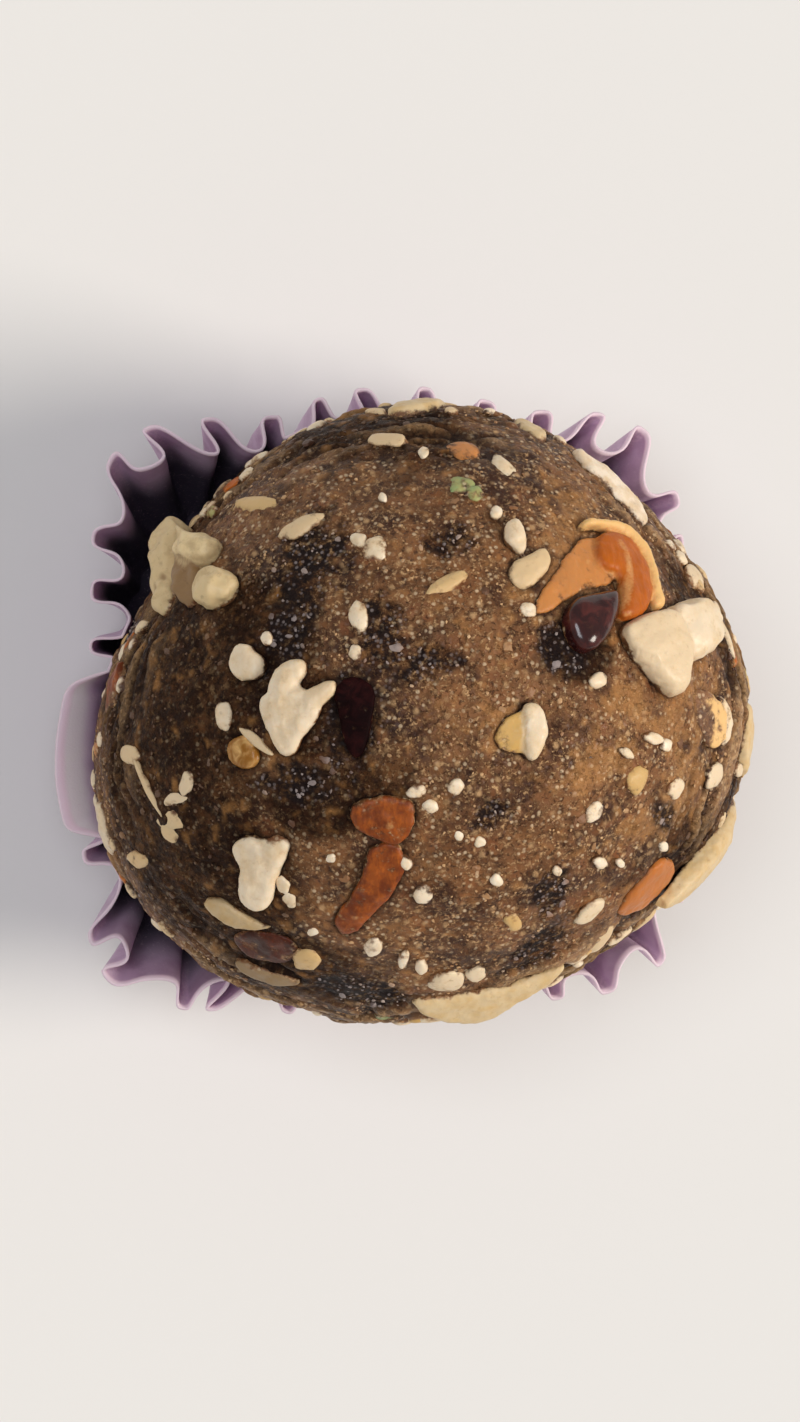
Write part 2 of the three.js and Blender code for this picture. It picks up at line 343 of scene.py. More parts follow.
def lay_on_ball(flat, heights, place, ways, bend=1.0):
    """Points on the dough from their places right and up, and how far they stand out."""
    along = flat @ ways.T
    heights = heights - bend * (along ** 2).sum(axis=1) / (2 * BALL_HALF_SIZE.mean())
    return place.point + along + np.outer(heights, place.out)


def lie_on_ball(ball, place, long, short, slant, thick, proud):
    """A ball's vertices pressed to an ellipse on the dough, as large as it looks.

    Long, short and thick are half sizes, slant turns the long side from right, and proud is how
    far the top stands out.
    """
    cosine, sine = cosine_and_sine(slant)
    flat = np.column_stack([
        long * ball[:, 0] * cosine - short * ball[:, 1] * sine,
        long * ball[:, 0] * sine + short * ball[:, 1] * cosine,
    ])
    level = np.sign(ball[:, 2]) * np.abs(ball[:, 2]) ** FLATTENED
    ways = drawn_out(place, (long + short) / 2, thick)
    return lay_on_ball(flat, thick * level + proud - thick, place, ways)


# A slab in the dough: how far it stands out, its tone, and its outline as the picture shows it.
Shard = namedtuple("Shard", "proud tone outline")
SHARD_GRID = 0.14
SHARD_EDGE = 0.35  # how high its edge is, as a share of its full height
FACETS = 4  # flat faces on top of it
FACET_TOP = 1.04  # where they cross over its middle, as a share of its full height
FACET_SLOPES = (0.05, 0.5)
SHARD_DEPTH = 1.3  # it reaches this far in,
SHARD_DEPTH_SHARE = 1.5  # or this many times as far as it stands out, if that is more


def look_from_edges(points, outline):
    """How far points lie inside an outline, less than 0 outside it, and the way to its edge."""
    starts = np.array(outline)
    ends = np.roll(starts, -1, axis=0)
    edges = ends - starts
    offsets = points[:, None, :] - starts
    shares = np.clip((offsets * edges).sum(axis=2) / (edges ** 2).sum(axis=1), 0, 1)
    to_edges = edges * shares[:, :, None] - offsets
    distances = np.linalg.norm(to_edges, axis=2)
    nearest = distances.argmin(axis=1)
    rows = np.arange(len(points))
    spans = (starts[:, 1] > points[:, 1:]) != (ends[:, 1] > points[:, 1:])
    slopes = edges[:, 0] / np.where(edges[:, 1] == 0, 1e-9, edges[:, 1])
    crossed = offsets[:, :, 0] < slopes * offsets[:, :, 1]
    inside = (spans & crossed).sum(axis=1) % 2 == 1
    return np.where(inside, 1, -1) * distances[rows, nearest], to_edges[rows, nearest]


def without_corners(outline):
    """An outline whose corners are cut off twice, which leaves it smooth."""
    for _ in range(2):
        ahead = np.roll(outline, -1, axis=0)
        cut = np.stack([0.75 * outline + 0.25 * ahead, 0.25 * outline + 0.75 * ahead], axis=1)
        outline = cut.reshape(-1, 2)
    return outline


def grid_in_outline(outline):
    """Points of a grid inside an outline, how deep inside it they lie, and the grid's squares.

    Points on the edge, or less than about a step outside it, are pulled onto it.
    """
    low, high = outline.min(axis=0) - SHARD_GRID, outline.max(axis=0) + SHARD_GRID
    counts = np.ceil((high - low) / SHARD_GRID).astype(int) + 1
    columns, rows = (low[k] + SHARD_GRID * np.arange(counts[k]) for k in (0, 1))
    flat = np.stack(np.meshgrid(columns, rows, indexing="ij"), axis=-1).reshape(-1, 2)
    depths, to_edges = look_from_edges(flat, outline)
    flat = np.where((depths < 0.3 * SHARD_GRID)[:, None], flat + to_edges, flat)
    number = np.arange(len(flat)).reshape(counts)
    corners = [number[:-1, :-1], number[1:, :-1], number[1:, 1:], number[:-1, 1:]]
    squares = np.stack(corners, axis=-1).reshape(-1, 4)
    squares = squares[(depths[squares] > -0.6 * SHARD_GRID).all(axis=1)]
    used, squares = np.unique(squares, return_inverse=True)
    return flat[used], np.maximum(depths[used], 0), squares.reshape(-1, 4)


def slab_faces(squares, count):
    """Triangles of a slab's top, of its underside, which has its points after the top's, and of
    its sides."""
    top = np.concatenate([squares[:, [0, 1, 2]], squares[:, [0, 2, 3]]])
    edges = np.concatenate([top[:, [0, 1]], top[:, [1, 2]], top[:, [2, 0]]])
    ends = np.sort(edges, axis=1)
    _, first, uses = np.unique(ends, axis=0, return_index=True, return_counts=True)
    rim = edges[first[uses == 1]]
    sides = np.concatenate([
        np.column_stack([rim[:, 1], rim[:, 0], rim[:, 0] + count]),
        np.column_stack([rim[:, 1], rim[:, 0] + count, rim[:, 1] + count]),
    ])
    return np.concatenate([top, top[:, ::-1] + count, sides])


def shard_mesh(shard, dice, rounding, middle):
    """A slab with the shard's outline: rounded at its edge and cut to flat facets on top."""
    outline = without_corners(np.array(shard.outline) - middle)
    flat, depths, squares = grid_in_outline(outline)
    share = np.minimum(depths / rounding, 1)
    tops = SHARD_EDGE + (1 - SHARD_EDGE) * np.sqrt(1 - (1 - share) ** 2)
    size = np.linalg.norm(outline, axis=1).max()
    for _ in range(FACETS):
        turn = dice.uniform(0, 2 * math.pi)
        slope = flat @ np.array([math.cos(turn), math.sin(turn)]) / size
        tops = np.minimum(tops, FACET_TOP - dice.uniform(*FACET_SLOPES) * slope)
    depth = max(SHARD_DEPTH, SHARD_DEPTH_SHARE * shard.proud)
    heights = np.concatenate([shard.proud * tops, np.full(len(flat), -depth)])
    return np.concatenate([flat, flat]), heights, slab_faces(squares, len(flat))


def chip(ball, dice, roughness):
    """The same ball, knocked out of round so that no two bits are alike."""
    start = Vector([dice.uniform(-50, 50) for _ in range(3)])
    knocks = [1 + roughness * noise.noise(Vector(v) * 1.3 + start) for v in ball]
    return ball * np.array(knocks)[:, None]


def fuse(shape, voxel, smoothing):
    """Melts the lumps of an object into one skin."""
    remesh = shape.modifiers.new("Fuse", "REMESH")
    remesh.mode = "VOXEL"
    remesh.voxel_size = voxel * MM
    smooth = shape.modifiers.new("Soften", "SMOOTH")
    smooth.factor = 0.5
    smooth.iterations = smoothing
    apply_modifiers(shape)


# How much of what stands past a limit palms press down and a knife takes off, and the least that
# a knife cuts into a side, as a share of how far that side reaches.
PRESSING = 0.75
CUTTING = 0.9
SHALLOWEST_CUT = 0.03


def press(places, share):
    """Flattens what stands out of the dough most, as the palms that rolled the ball do."""
    rise = height_over_ball(places)
    limit = rise.max() * share
    outward, _ = ways_from_middle(places)
    return places - outward * (PRESSING * np.maximum(rise - limit, 0))[:, None]


def chop(places, dice, cuts, deepest):
    """Slices flat faces off the sides of a piece, as a knife leaves them."""
    middle = places.mean(axis=0)
    out = way_out(middle)
    for _ in range(cuts):
        way = np.array([dice.gauss(0, 1) for _ in range(3)])
        way -= out * (way @ out) * dice.uniform(0.5, 1)
        way /= np.linalg.norm(way)
        reach = (places - middle) @ way
        limit = reach.max() * (1 - dice.uniform(SHALLOWEST_CUT, deepest))
        places = places - np.outer(CUTTING * np.maximum(reach - limit, 0), way)
    return places


def fractal(place, size):
    return noise.fractal(place / size, 1.0, 2.0, 4)


def cells(place, size):
    """Distances to the two nearest of many random points, and a number for the nearest one."""
    distances, points = noise.voronoi(place / size)
    return distances[0], distances[1], noise.cell(points[0] * 7.3)


# ---- what the picture shows, in millimetres right of and above the ball's middle ----

# Pieces shaped shard by shard: how far each stands out of the dough, its tone and its outline.
# What tone means is up to the material.
SHAPED = {
    "walnut_chunk": [
        Shard(1.5, 0.25, [(-15.2, 12.1), (-14.2, 11.3), (-14.4, 9.6), (-14.3, 8.0), (-14.0, 6.6),
                          (-14.7, 5.5), (-15.7, 6.0), (-16.3, 8.3), (-16.1, 10.4)]),
        Shard(2.0, 0.0, [(-14.9, 11.6), (-13.4, 10.8), (-11.8, 10.1), (-11.6, 9.3), (-12.2, 8.7),
                         (-13.2, 8.4), (-14.2, 8.7), (-14.7, 9.7)]),
        Shard(1.7, 0.2, [(-13.3, 8.4), (-12.2, 8.8), (-11.1, 8.4), (-10.9, 7.4), (-11.3, 6.5),
                         (-12.6, 6.2), (-13.5, 6.5), (-13.8, 7.5)]),
        Shard(1.1, 0.9, [(-15.0, 10.0), (-13.3, 9.4), (-13.0, 6.6), (-14.8, 6.3)]),
    ],
    "cashew_round": [
        Shard(0.75, 0.0, [(-11.75, 3.15), (-11.2, 4.1), (-10.45, 4.15), (-10.2, 3.7),
                          (-9.55, 3.2), (-9.5, 2.3), (-10.4, 1.75), (-11.4, 2.05)]),
    ],
    "cashew_lobed": [
        Shard(0.8, 0.0, [(-8.7, 2.85), (-7.3, 3.3), (-6.85, 2.6), (-7.6, 1.3), (-8.3, -0.3),
                         (-9.7, -0.2), (-9.3, 1.5)]),
        Shard(0.55, 0.35, [(-7.2, 1.2), (-5.3, 2.05), (-4.85, 1.4), (-6.3, -0.1), (-7.4, -0.3)]),
        Shard(0.65, 0.05, [(-9.9, 0.8), (-8.6, 1.5), (-7.3, 1.5), (-5.9, 0.7), (-6.2, -0.5),
                           (-7.1, -1.4), (-7.6, -2.7), (-8.4, -2.85), (-9.2, -1.6), (-9.8, -0.1)]),
    ],
    "cashew_double": [
        Shard(0.6, 0.0, [(5.3, 11.4), (6.0, 12.1), (6.6, 11.4), (6.8, 10.2), (6.3, 9.5),
                         (5.4, 10.3)]),
        Shard(0.45, 0.55, [(6.9, 9.7), (7.9, 10.35), (8.3, 9.4), (7.9, 8.5), (7.1, 7.7),
                           (6.2, 7.5), (5.4, 8.3), (5.9, 9.3)]),
    ],
    "cashew_large": [
        Shard(1.25, 0.3, [(12.5, 5.2), (13.6, 5.8), (14.8, 6.25), (15.8, 6.3), (16.6, 5.2),
                          (16.9, 3.6), (16.6, 2.4), (16.55, 1.6), (16.1, 0.9), (15.3, 1.0),
                          (14.65, 1.75), (13.95, 2.45), (13.2, 3.2), (12.75, 4.1)]),
        Shard(1.6, 0.0, [(15.2, 6.3), (16.0, 6.6), (16.7, 6.9), (17.6, 6.9), (18.3, 6.4),
                         (18.65, 5.6), (18.6, 4.7), (18.0, 3.7), (17.1, 3.0), (16.2, 2.9),
                         (15.3, 3.6), (14.9, 4.9)]),
    ],
    "cashew_crown": [
        Shard(0.7, 0.0, [(6.5, 0.3), (7.0, 0.45), (7.5, 0.4), (7.9, -0.4), (7.95, -1.6),
                         (7.6, -2.7), (7.1, -3.1), (6.7, -3.0), (6.5, -2.4), (6.5, -1.3)]),
        Shard(0.2, 1.0, [(5.0, -0.9), (5.6, -0.3), (6.8, 0.1), (6.8, -2.6), (5.9, -2.7),
                         (5.2, -2.4), (4.8, -1.8)]),
    ],
    "cashew_forked": [
        Shard(0.75, 0.0, [(-11.6, -8.7), (-11.2, -8.0), (-10.6, -7.8), (-9.6, -7.9), (-8.6, -7.7),
                          (-7.7, -8.0), (-8.2, -9.2), (-8.7, -10.2), (-8.9, -11.2), (-9.2, -12.1),
                          (-9.9, -12.4), (-10.7, -12.2), (-11.2, -11.3), (-11.0, -10.3),
                          (-10.9, -9.6), (-11.3, -9.1)]),
    ],
    "cashew_golden": [
        Shard(0.5, 0.1, [(18.6, 1.1), (19.1, 0.5), (19.5, -0.3), (19.4, -1.5), (18.9, -2.5),
                         (18.6, -2.1), (18.9, -1.2), (18.9, -0.2), (18.5, 0.6)]),
        Shard(0.16, 1.0, [(17.0, 1.6), (18.3, 1.2), (19.0, 0.4), (19.3, -0.3), (19.3, -1.4),
                          (18.8, -2.4), (18.0, -2.2), (17.4, -1.2), (16.9, 0.1)]),
    ],
    "raisin_crown": [
        Shard(0.12, 0.0, [(-4.9, 1.8), (-3.8, 2.2), (-2.7, 1.4), (-2.8, 0.2), (-3.0, -1.2),
                          (-3.4, -2.6), (-4.1, -3.0), (-4.7, -1.9), (-4.9, -0.4), (-5.3, 0.8)]),
    ],
    "raisin_berry": [
        Shard(1.0, 0.0, [(9.2, 6.4), (9.7, 6.9), (10.4, 7.1), (11.4, 7.35), (12.3, 7.6),
                         (12.45, 6.7), (12.15, 5.6), (11.5, 4.4), (10.7, 3.6), (9.9, 3.8),
                         (9.35, 4.7), (9.1, 5.6)]),
    ],
    "raisin_golden": [
        Shard(0.45, 0.0, [(-12.0, -2.3), (-11.5, -1.6), (-10.6, -1.5), (-9.95, -2.3),
                          (-9.85, -3.2), (-10.6, -3.7), (-11.5, -3.4)]),
    ],
    "flake_crescent": [
        Shard(0.35, 0.25, [(-13.5, -11.8), (-12.6, -11.7), (-11.8, -11.85), (-10.7, -12.6),
                           (-9.8, -13.1), (-8.85, -13.35), (-10.0, -13.6), (-11.1, -13.5),
                           (-11.8, -13.3), (-12.9, -12.5)]),
    ],
    "flake_front": [
        Shard(0.55, 0.0, [(-0.3, -18.05), (1.5, -17.65), (3.8, -17.25), (6.9, -16.6),
                          (9.6, -15.65), (8.3, -16.8), (6.2, -17.9), (4.8, -18.8), (3.6, -19.3),
                          (1.9, -19.3), (0.5, -18.9), (-0.2, -18.45)]),
    ],
    "flake_shoulder": [
        Shard(0.5, 0.0, [(9.7, 16.5), (10.5, 15.8), (11.7, 14.95), (13.0, 13.65), (13.95, 12.55),
                         (14.35, 11.7), (14.0, 11.4), (13.1, 12.2), (11.9, 13.4), (10.7, 14.7),
                         (9.9, 15.7)]),
    ],
    "flake_low": [
        Shard(0.2, 0.7, [(-11.6, -15.5), (-10.2, -15.8), (-8.6, -16.3), (-6.95, -17.0),
                         (-8.2, -17.15), (-10.0, -16.75), (-11.1, -16.15)]),
    ],
    "almond_gold": [
        Shard(0.08, 0.3, [(7.4, 6.5), (7.8, 7.5), (8.6, 8.6), (9.3, 9.8), (10.2, 10.8), (11.4, 11.0),
                          (12.0, 10.0), (12.4, 8.6), (12.0, 7.9), (11.0, 7.8), (9.9, 7.4),
                          (9.0, 6.8), (8.1, 6.3)]),
        Shard(0.7, 0.0, [(11.0, 10.9), (12.4, 11.1), (13.5, 10.3), (14.15, 8.8), (14.4, 7.1),
                         (14.0, 6.0), (12.8, 5.6), (12.3, 6.2), (12.6, 7.3), (12.3, 8.5),
                         (11.5, 8.6), (10.9, 9.6)]),
        Shard(0.74, 0.8, [(12.0, 10.5), (12.4, 10.4), (12.95, 9.0), (12.95, 7.4), (12.7, 6.2),
                          (12.45, 6.2), (12.65, 7.5), (12.55, 8.9)]),
        Shard(0.85, 1.0, [(10.2, 11.8), (11.4, 11.9), (12.9, 11.5), (13.9, 10.6), (14.6, 9.0),
                          (14.9, 7.4), (15.4, 6.4), (14.6, 6.3), (14.35, 7.6), (14.05, 9.0),
                          (13.4, 10.2), (12.4, 11.1), (11.2, 11.35), (10.3, 11.3)]),
    ],
    "almond_upper": [
        Shard(0.25, 0.0, [(-4.1, -5.9), (-2.8, -5.4), (-1.3, -5.35), (-0.3, -5.7), (-0.2, -6.6),
                          (-0.6, -7.8), (-1.5, -8.4), (-2.8, -7.95), (-3.95, -7.3),
                          (-4.3, -6.6)]),
    ],
    "almond_lower": [
        Shard(0.35, 0.0, [(-3.1, -8.6), (-1.7, -8.4), (-0.9, -9.0), (-1.0, -10.4), (-1.7, -11.5),
                          (-2.8, -12.6), (-3.7, -13.7), (-4.7, -14.2), (-5.3, -13.4),
                          (-4.8, -12.2), (-3.95, -11.1), (-3.4, -10.0)]),
    ],
    "almond_side": [
        Shard(0.3, 0.15, [(15.8, -9.2), (16.15, -9.8), (15.5, -10.85), (14.3, -12.0),
                          (12.9, -12.85), (12.4, -12.6), (13.1, -11.55), (14.05, -10.4),
                          (15.0, -9.4)]),
    ],
    "almond_skin": [
        Shard(0.1, 0.0, [(-11.7, -14.0), (-10.2, -13.75), (-8.5, -14.0), (-7.4, -14.8),
                         (-7.9, -15.8), (-9.8, -15.6), (-11.1, -14.95)]),
    ],
}

# Bits of cream nut too small to be nodes.
NUT_BITS = [
    Lump(-2.7, 10.15, 0.85, 0.8, 0),
    Lump(-3.65, 10.55, 0.55, 0.45, -20),
    Lump(-3.76, 5.95, 0.9, 0.58, 95),
    Lump(-12.1, -0.3, 1.0, 0.5, -85),
    Lump(-8.35, -10.8, 0.6, 0.42, -65),
    Lump(-7.95, -11.6, 0.62, 0.4, -60),
    Lump(-10.1, -1.8, 1.2, 0.28, -42, 0.4),
    Lump(-7.3, 11.45, 1.5, 0.55, 27, 0.5),
    Lump(1.7, 7.85, 1.55, 0.5, 28, 0.75),
    Lump(5.3, 15.15, 1.0, 0.55, -35),
    Lump(17.2, 8.35, 0.9, 0.6, -50, 0.3),
    Lump(17.1, 10.9, 0.8, 0.7, 40),
    Lump(-17.85, -2.7, 0.7, 0.55, -50, 0.5),
    Lump(-14.35, -4.5, 0.8, 0.4, 85, 0.3),
    Lump(-15.1, -5.5, 0.8, 0.42, 15, 0.3),
    Lump(-15.4, -6.7, 1.1, 0.75, -20, 0.55),
    Lump(-15.3, -7.5, 0.8, 0.5, -65, 0.6),
    Lump(-16.8, -4.6, 2.0, 0.16, -65, 0.5),
    Lump(10.7, -12.4, 1.1, 0.36, 40, 0.2),
    Lump(11.3, -14.2, 1.2, 0.4, 50, 0.5),
    Lump(1.75, -16.8, 1.15, 0.6, 12, 0.2),
    Lump(3.6, -16.3, 0.65, 0.42, 20, 0.2),
    Lump(-1.9, 16.8, 1.25, 0.38, 0, 0.5),
    Lump(-10.2, 12.8, 1.5, 0.5, 4, 0.8),
    Lump(-17.4, -9.2, 0.7, 0.45, -20, 0.7),
    Lump(-6.9, -15.4, 0.95, 0.75, 10, 0.8),
    Lump(14.0, -13.0, 1.1, 0.3, 50, 0.6),
    Lump(18.4, -4.0, 0.9, 0.4, 70, 0.2),
    Lump(13.6, -4.3, 0.9, 0.65, 60, 0.9),
]

# Whole pale seeds. The dice turn them.
SEEDS = [
    Lump(-3.9, 3.6, 0.5, 0.42),
    Lump(-9.4, 4.5, 0.42, 0.38),
    Lump(0.35, 16.0, 0.38, 0.34),
    Lump(4.85, 12.3, 0.42, 0.38),
    Lump(6.8, 6.3, 0.55, 0.45),
    Lump(11.2, 1.9, 0.58, 0.48, tone=0.3),
    Lump(10.9, -6.3, 0.72, 0.52),
    Lump(-0.15, -5.0, 0.62, 0.42),
    Lump(0.75, -5.9, 0.52, 0.4),
    Lump(2.35, -4.7, 0.6, 0.48),
    Lump(2.5, -7.7, 0.36, 0.32),
    Lump(3.8, -8.1, 0.38, 0.34),
    Lump(-0.8, -9.4, 0.5, 0.4),
    Lump(0.3, -11.4, 0.68, 0.6, tone=0.1),
    Lump(-2.8, -14.7, 0.68, 0.55, tone=0.1),
    Lump(-0.9, -15.4, 0.58, 0.32),
    Lump(0.2, -15.9, 0.45, 0.4, tone=0.2),
    Lump(4.85, -10.5, 0.42, 0.36),
    Lump(11.3, -9.4, 0.42, 0.36),
    Lump(12.5, -9.4, 0.28, 0.25),
    Lump(5.9, -13.1, 0.6, 0.55, tone=0.9),
    Lump(14.6, -1.7, 0.6, 0.36, tone=0.2),
    Lump(15.4, -2.1, 0.4, 0.34),
    Lump(16.0, -4.8, 0.72, 0.48, tone=0.3),
    Lump(-6.5, -13.6, 0.38, 0.32),
    Lump(15.2, -8.4, 0.34, 0.3),
    Lump(12.9, -2.6, 0.5, 0.28, tone=0.3),
    Lump(-5.4, -9.1, 0.3, 0.28),
    Lump(8.6, -9.9, 0.3, 0.26),
    Lump(-2.2, 13.2, 0.3, 0.26),
]

PISTACHIO_BITS = [Lump(2.65, 14.0, 0.95, 0.65, -5), Lump(3.5, 13.6, 0.6, 0.45, -40)]
ALMOND_BITS = [Lump(2.9, 16.1, 1.1, 0.6, -12, 0.3), Lump(-11.6, 14.0, 0.7, 0.3, 30)]

# Dark, sticky date that shows at the surface.
DATE_PATCHES = [
    Lump(-6.5, 10.2, 2.5, 2.2, 60),
    Lump(-7.2, 7.9, 2.8, 2.1, 75),
    Lump(-8.1, 5.0, 2.6, 1.5, 72),
    Lump(-2.2, 4.6, 3.0, 1.6, 100),
    Lump(0.2, 3.0, 2.7, 1.2, 8),
    Lump(-3.9, -0.6, 3.4, 1.9, 86),
    Lump(8.8, 3.9, 2.2, 1.5, -60),
    Lump(1.7, 10.5, 2.0, 1.0, 10),
    Lump(8.2, -11.2, 1.6, 1.1, 60),
    Lump(4.7, -6.4, 1.3, 1.0, 20),
    Lump(-7.5, -4.6, 2.6, 1.3, -5),
    Lump(-3.5, -17.6, 4.0, 0.9, -8),
    Lump(7.5, -14.8, 2.6, 0.8, 35),
    Lump(15.4, -6.6, 0.9, 0.8, 40),
]

# Wide zones where the dough is darker all through: partly it has more date in it, and partly
# # this is painted shade on the ball's left side and top.
RICH_AND_SHADED_ZONES = [
    Lump(-16.5, 1.0, 9.0, 5.0, 95),
    Lump(-14.0, -9.5, 7.0, 5.0, 125),
    Lump(-10.5, 4.0, 4.6, 3.6, 60),
    Lump(-5.5, -5.5, 5.0, 2.4, 10),
    Lump(-8.0, -16.0, 6.0, 2.0, -22),
    Lump(-6.8, -0.6, 3.2, 2.8, 0),
    Lump(10.2, 3.6, 2.6, 1.8, -30),
    Lump(16.5, -9.5, 4.0, 1.6, 50),
    Lump(-3.5, 18.4, 7.0, 2.2, 0),
]

# Zones where the dough is golden, stained by the almonds and nuts beside it.
GOLDEN_ZONES = [
    Lump(9.8, 12.2, 2.6, 1.3, -38),
    Lump(9.2, 9.0, 2.8, 1.9, 50),
    Lump(18.2, 0.2, 2.6, 1.3, -70),
    Lump(16.8, -4.4, 2.4, 1.2, 80),
    Lump(5.2, -1.3, 1.3, 1.3, 0),
    Lump(13.2, 0.6, 2.0, 1.4, -40),
    Lump(6.6, 8.2, 1.6, 1.0, 40),
    Lump(11.0, -3.6, 2.6, 1.6, 30),
    Lump(16.2, -0.6, 2.4, 1.7, -80),
    Lump(13.7, -7.4, 1.5, 1.1, 30),
]



def walnut_relief(place):
    lobes = noise.noise(Vector((place.x / 1.9, place.y / 1.4, place.z / 2.4)))
    return 0.4 * lobes + 0.22 * noise.noise(place / 0.85) + 0.05 * noise.noise(place / 0.4) - 0.04


def cashew_relief(place):
    near, second, tone = cells(place, 1.3)
    return 0.08 * fractal(place, 1.1) + 0.07 * (tone - 0.5) * min(1, 3 * (second - near))


def raisin_relief(place):
    folds = abs(noise.noise(place / 2.2)) + 0.2 * abs(noise.noise(place / 0.9))
    return 0.14 * folds - 0.05


def flake_relief(place):
    return 0.07 * fractal(place, 1.2) + 0.03 * noise.noise(place / 0.4)


def almond_relief(place):
    veins = Vector((place.x / 0.35, place.y / 0.9, place.z / 0.5))
    return 0.1 * fractal(place, 1.2) + 0.03 * noise.noise(veins)


# Each kind of piece: its relief, how wide its rounded edge is, how far it turns to the viewer and
# how much it bends with the ball, how finely its skin is meshed and smoothed, and how many flat
# faces are cut on the sides of one that no outline is known for, and how deep.
Kind = namedtuple("Kind", "suffix slot relief rounding turned bend voxel smoothing cuts deepest")
KINDS = {
    "walnut": Kind("kernel", "walnut", walnut_relief, 0.7, 0.45, 0.6, 0.14, 3, 4, 0.14),
    "cashew": Kind("nut", "cashew", cashew_relief, 0.7, 0.3, 1, 0.14, 4, 6, 0.16),
    "raisin": Kind("fruit", "raisin", raisin_relief, 1.1, 0, 1, 0.14, 5, 0, 0),
    "flake": Kind("slice", "almond_flake", flake_relief, 0.3, 0.3, 0.6, 0.12, 3, 3, 0.1),
    "almond": Kind("skin", "almond_skin", almond_relief, 0.5, 0, 1, 0.14, 3, 4, 0.12),
}
PRESSED_TO = 0.7  # where such a piece stands out more than this share of its most, it is pressed
WALNUT_FOLD = 0.14  # how low its relief is where the skin in its folds starts to show
WALNUT_FOLD_TONE = 0.8
NEIGHBOURS = 5  # how many old vertices give a new one its number


def middle_of(shard):
    outline = np.array(shard.outline)
    return (outline.min(axis=0) + outline.max(axis=0)) / 2


def shape_from_shards(name, shards, kind):
    """The shards of a piece as one object, and the tone at each of its vertices."""
    pile = Pile()
    dice = random.Random(name)
    for shard in shards:
        middle = middle_of(shard)
        place = seen_place(*middle, kind.turned)
        size = np.ptp(np.array(shard.outline), axis=0).mean() / 2
        flat, heights, faces = shard_mesh(shard, dice, kind.rounding, middle)
        ways = drawn_out(place, size, shard.proud)
        pile.add(lay_on_ball(flat, heights, place, ways, kind.bend), faces, tone=shard.tone)
    return pile.to_object(name)


def shape_from_node(name, node):
    """The model's own form of a piece, to be given a fine skin."""
    mesh = frame["nodes"][node].data
    faces = [list(polygon.vertices) for polygon in mesh.polygons]
    return new_object(name, places_of(mesh), np.array(faces))


def numbers_near(places, old_places, old_numbers):
    """The number at each place, from the few vertices of an older mesh that are nearest to it."""
    tree = KDTree(len(old_places))
    for i, place in enumerate(old_places):
        tree.insert(place, i)
    tree.balance()
    return [np.mean([old_numbers[i] for _, i, _ in tree.find_n(place, NEIGHBOURS)])
            for place in places]


def make_piece(node, material):
    """One nut, slice, skin or fruit, in the place of its node."""
    kind_name = node.split("_")[0]
    kind = KINDS[kind_name]
    name = f"{node}_{kind.suffix}"
    shards = SHAPED.get(node)
    if shards:
        shape = shape_from_shards(name, shards, kind)
        old_places, old_tones = places_of(shape.data), stored(shape.data, "tone")
        fuse(shape, kind.voxel, kind.smoothing)
    else:
        shape = shape_from_node(name, node)
        fuse(shape, kind.voxel, kind.smoothing)
        places = press(places_of(shape.data), PRESSED_TO)
        move_vertices(shape.data, chop(places, random.Random(node), kind.cuts, kind.deepest))
    places = places_of(shape.data)
    relief = np.array([kind.relief(Vector(place)) for place in places])
    places = places + normals_of(shape.data) * relief[:, None]
    move_vertices(shape.data, places)
    outward, _ = ways_from_middle(places)
    facing = np.abs((normals_of(shape.data) * outward).sum(axis=1))
    tones = numbers_near(places, old_places, old_tones) if shards else np.zeros(len(places))
    if kind_name == "walnut":
        folds = np.clip((-WALNUT_FOLD - relief) / WALNUT_FOLD, 0, 1)
        tones = np.maximum(tones, WALNUT_FOLD_TONE * folds)
    store(shape.data, "rise", height_over_ball(places))
    store(shape.data, "side", 1 - facing)
    store(shape.data, "tone", tones)
    shade_smooth(shape)
    finish_piece(shape, material, kind.slot, [node])


def make_pieces(kind_name, material, special=None):
    """Every piece of a kind. Special names the nodes that have a material of their own."""
    for node in sorted(node for node in frame["nodes"] if node.startswith(kind_name + "_")):
        make_piece(node, (special or {}).get(node, material))


def tree_of_pieces():
    """One search tree over every nut, slice, skin and fruit made so far, in millimetres."""
    suffixes = tuple("_" + kind.suffix for kind in KINDS.values())
    vertices, faces = [], []
    for shape in bpy.context.scene.objects:
        if shape.name.endswith(suffixes):
            count = len(vertices)
            vertices += [Vector(place) for place in places_of(shape.data)]
            faces += [[count + i for i in polygon.vertices] for polygon in shape.data.polygons]
    return BVHTree.FromPolygons(vertices, faces)


# ---- the dough ----

DOUGH_ROUNDS = 5
DOUGH_CUTS = 5
DOUGH_FLAT = 0.14  # the underside rests on the paper
NEAR_PIECE = 1.1  # how far from a piece the dough bends to it
DEEPEST_UNDER = 0.7  # how far at most the dough is pressed in under a piece
PATCH_REACH = 6  # how far above and below the surface a patch is felt
HIDDEN_FACING = 0.15  # places that face the viewer less than this may have guessed patches
HIDDEN_LEANS = (60, 125)

# What shows in the dough patch by patch: the patches that the picture shows, how many times fewer
# it has on the hidden sides than date patches, the ranges of their half lengths and half widths,
# and how large the tears in its edge are, how deep they go, and where the edge is.
Zones = namedtuple("Zones", "shown rarer longs shorts tear_size tear threshold")
ZONES = {
    "date": Zones(DATE_PATCHES, 1, (1.4, 3.4), (0.7, 1.6), 0.8, 0.5, 0.7),
    "rich_and_shaded": Zones(RICH_AND_SHADED_ZONES, 2, (4, 8), (2, 5), 3.0, 0.25, 0.35),
    "golden": Zones(GOLDEN_ZONES, 3, (1.5, 3), (1, 2), 1.0, 0.9, 0.75),
}


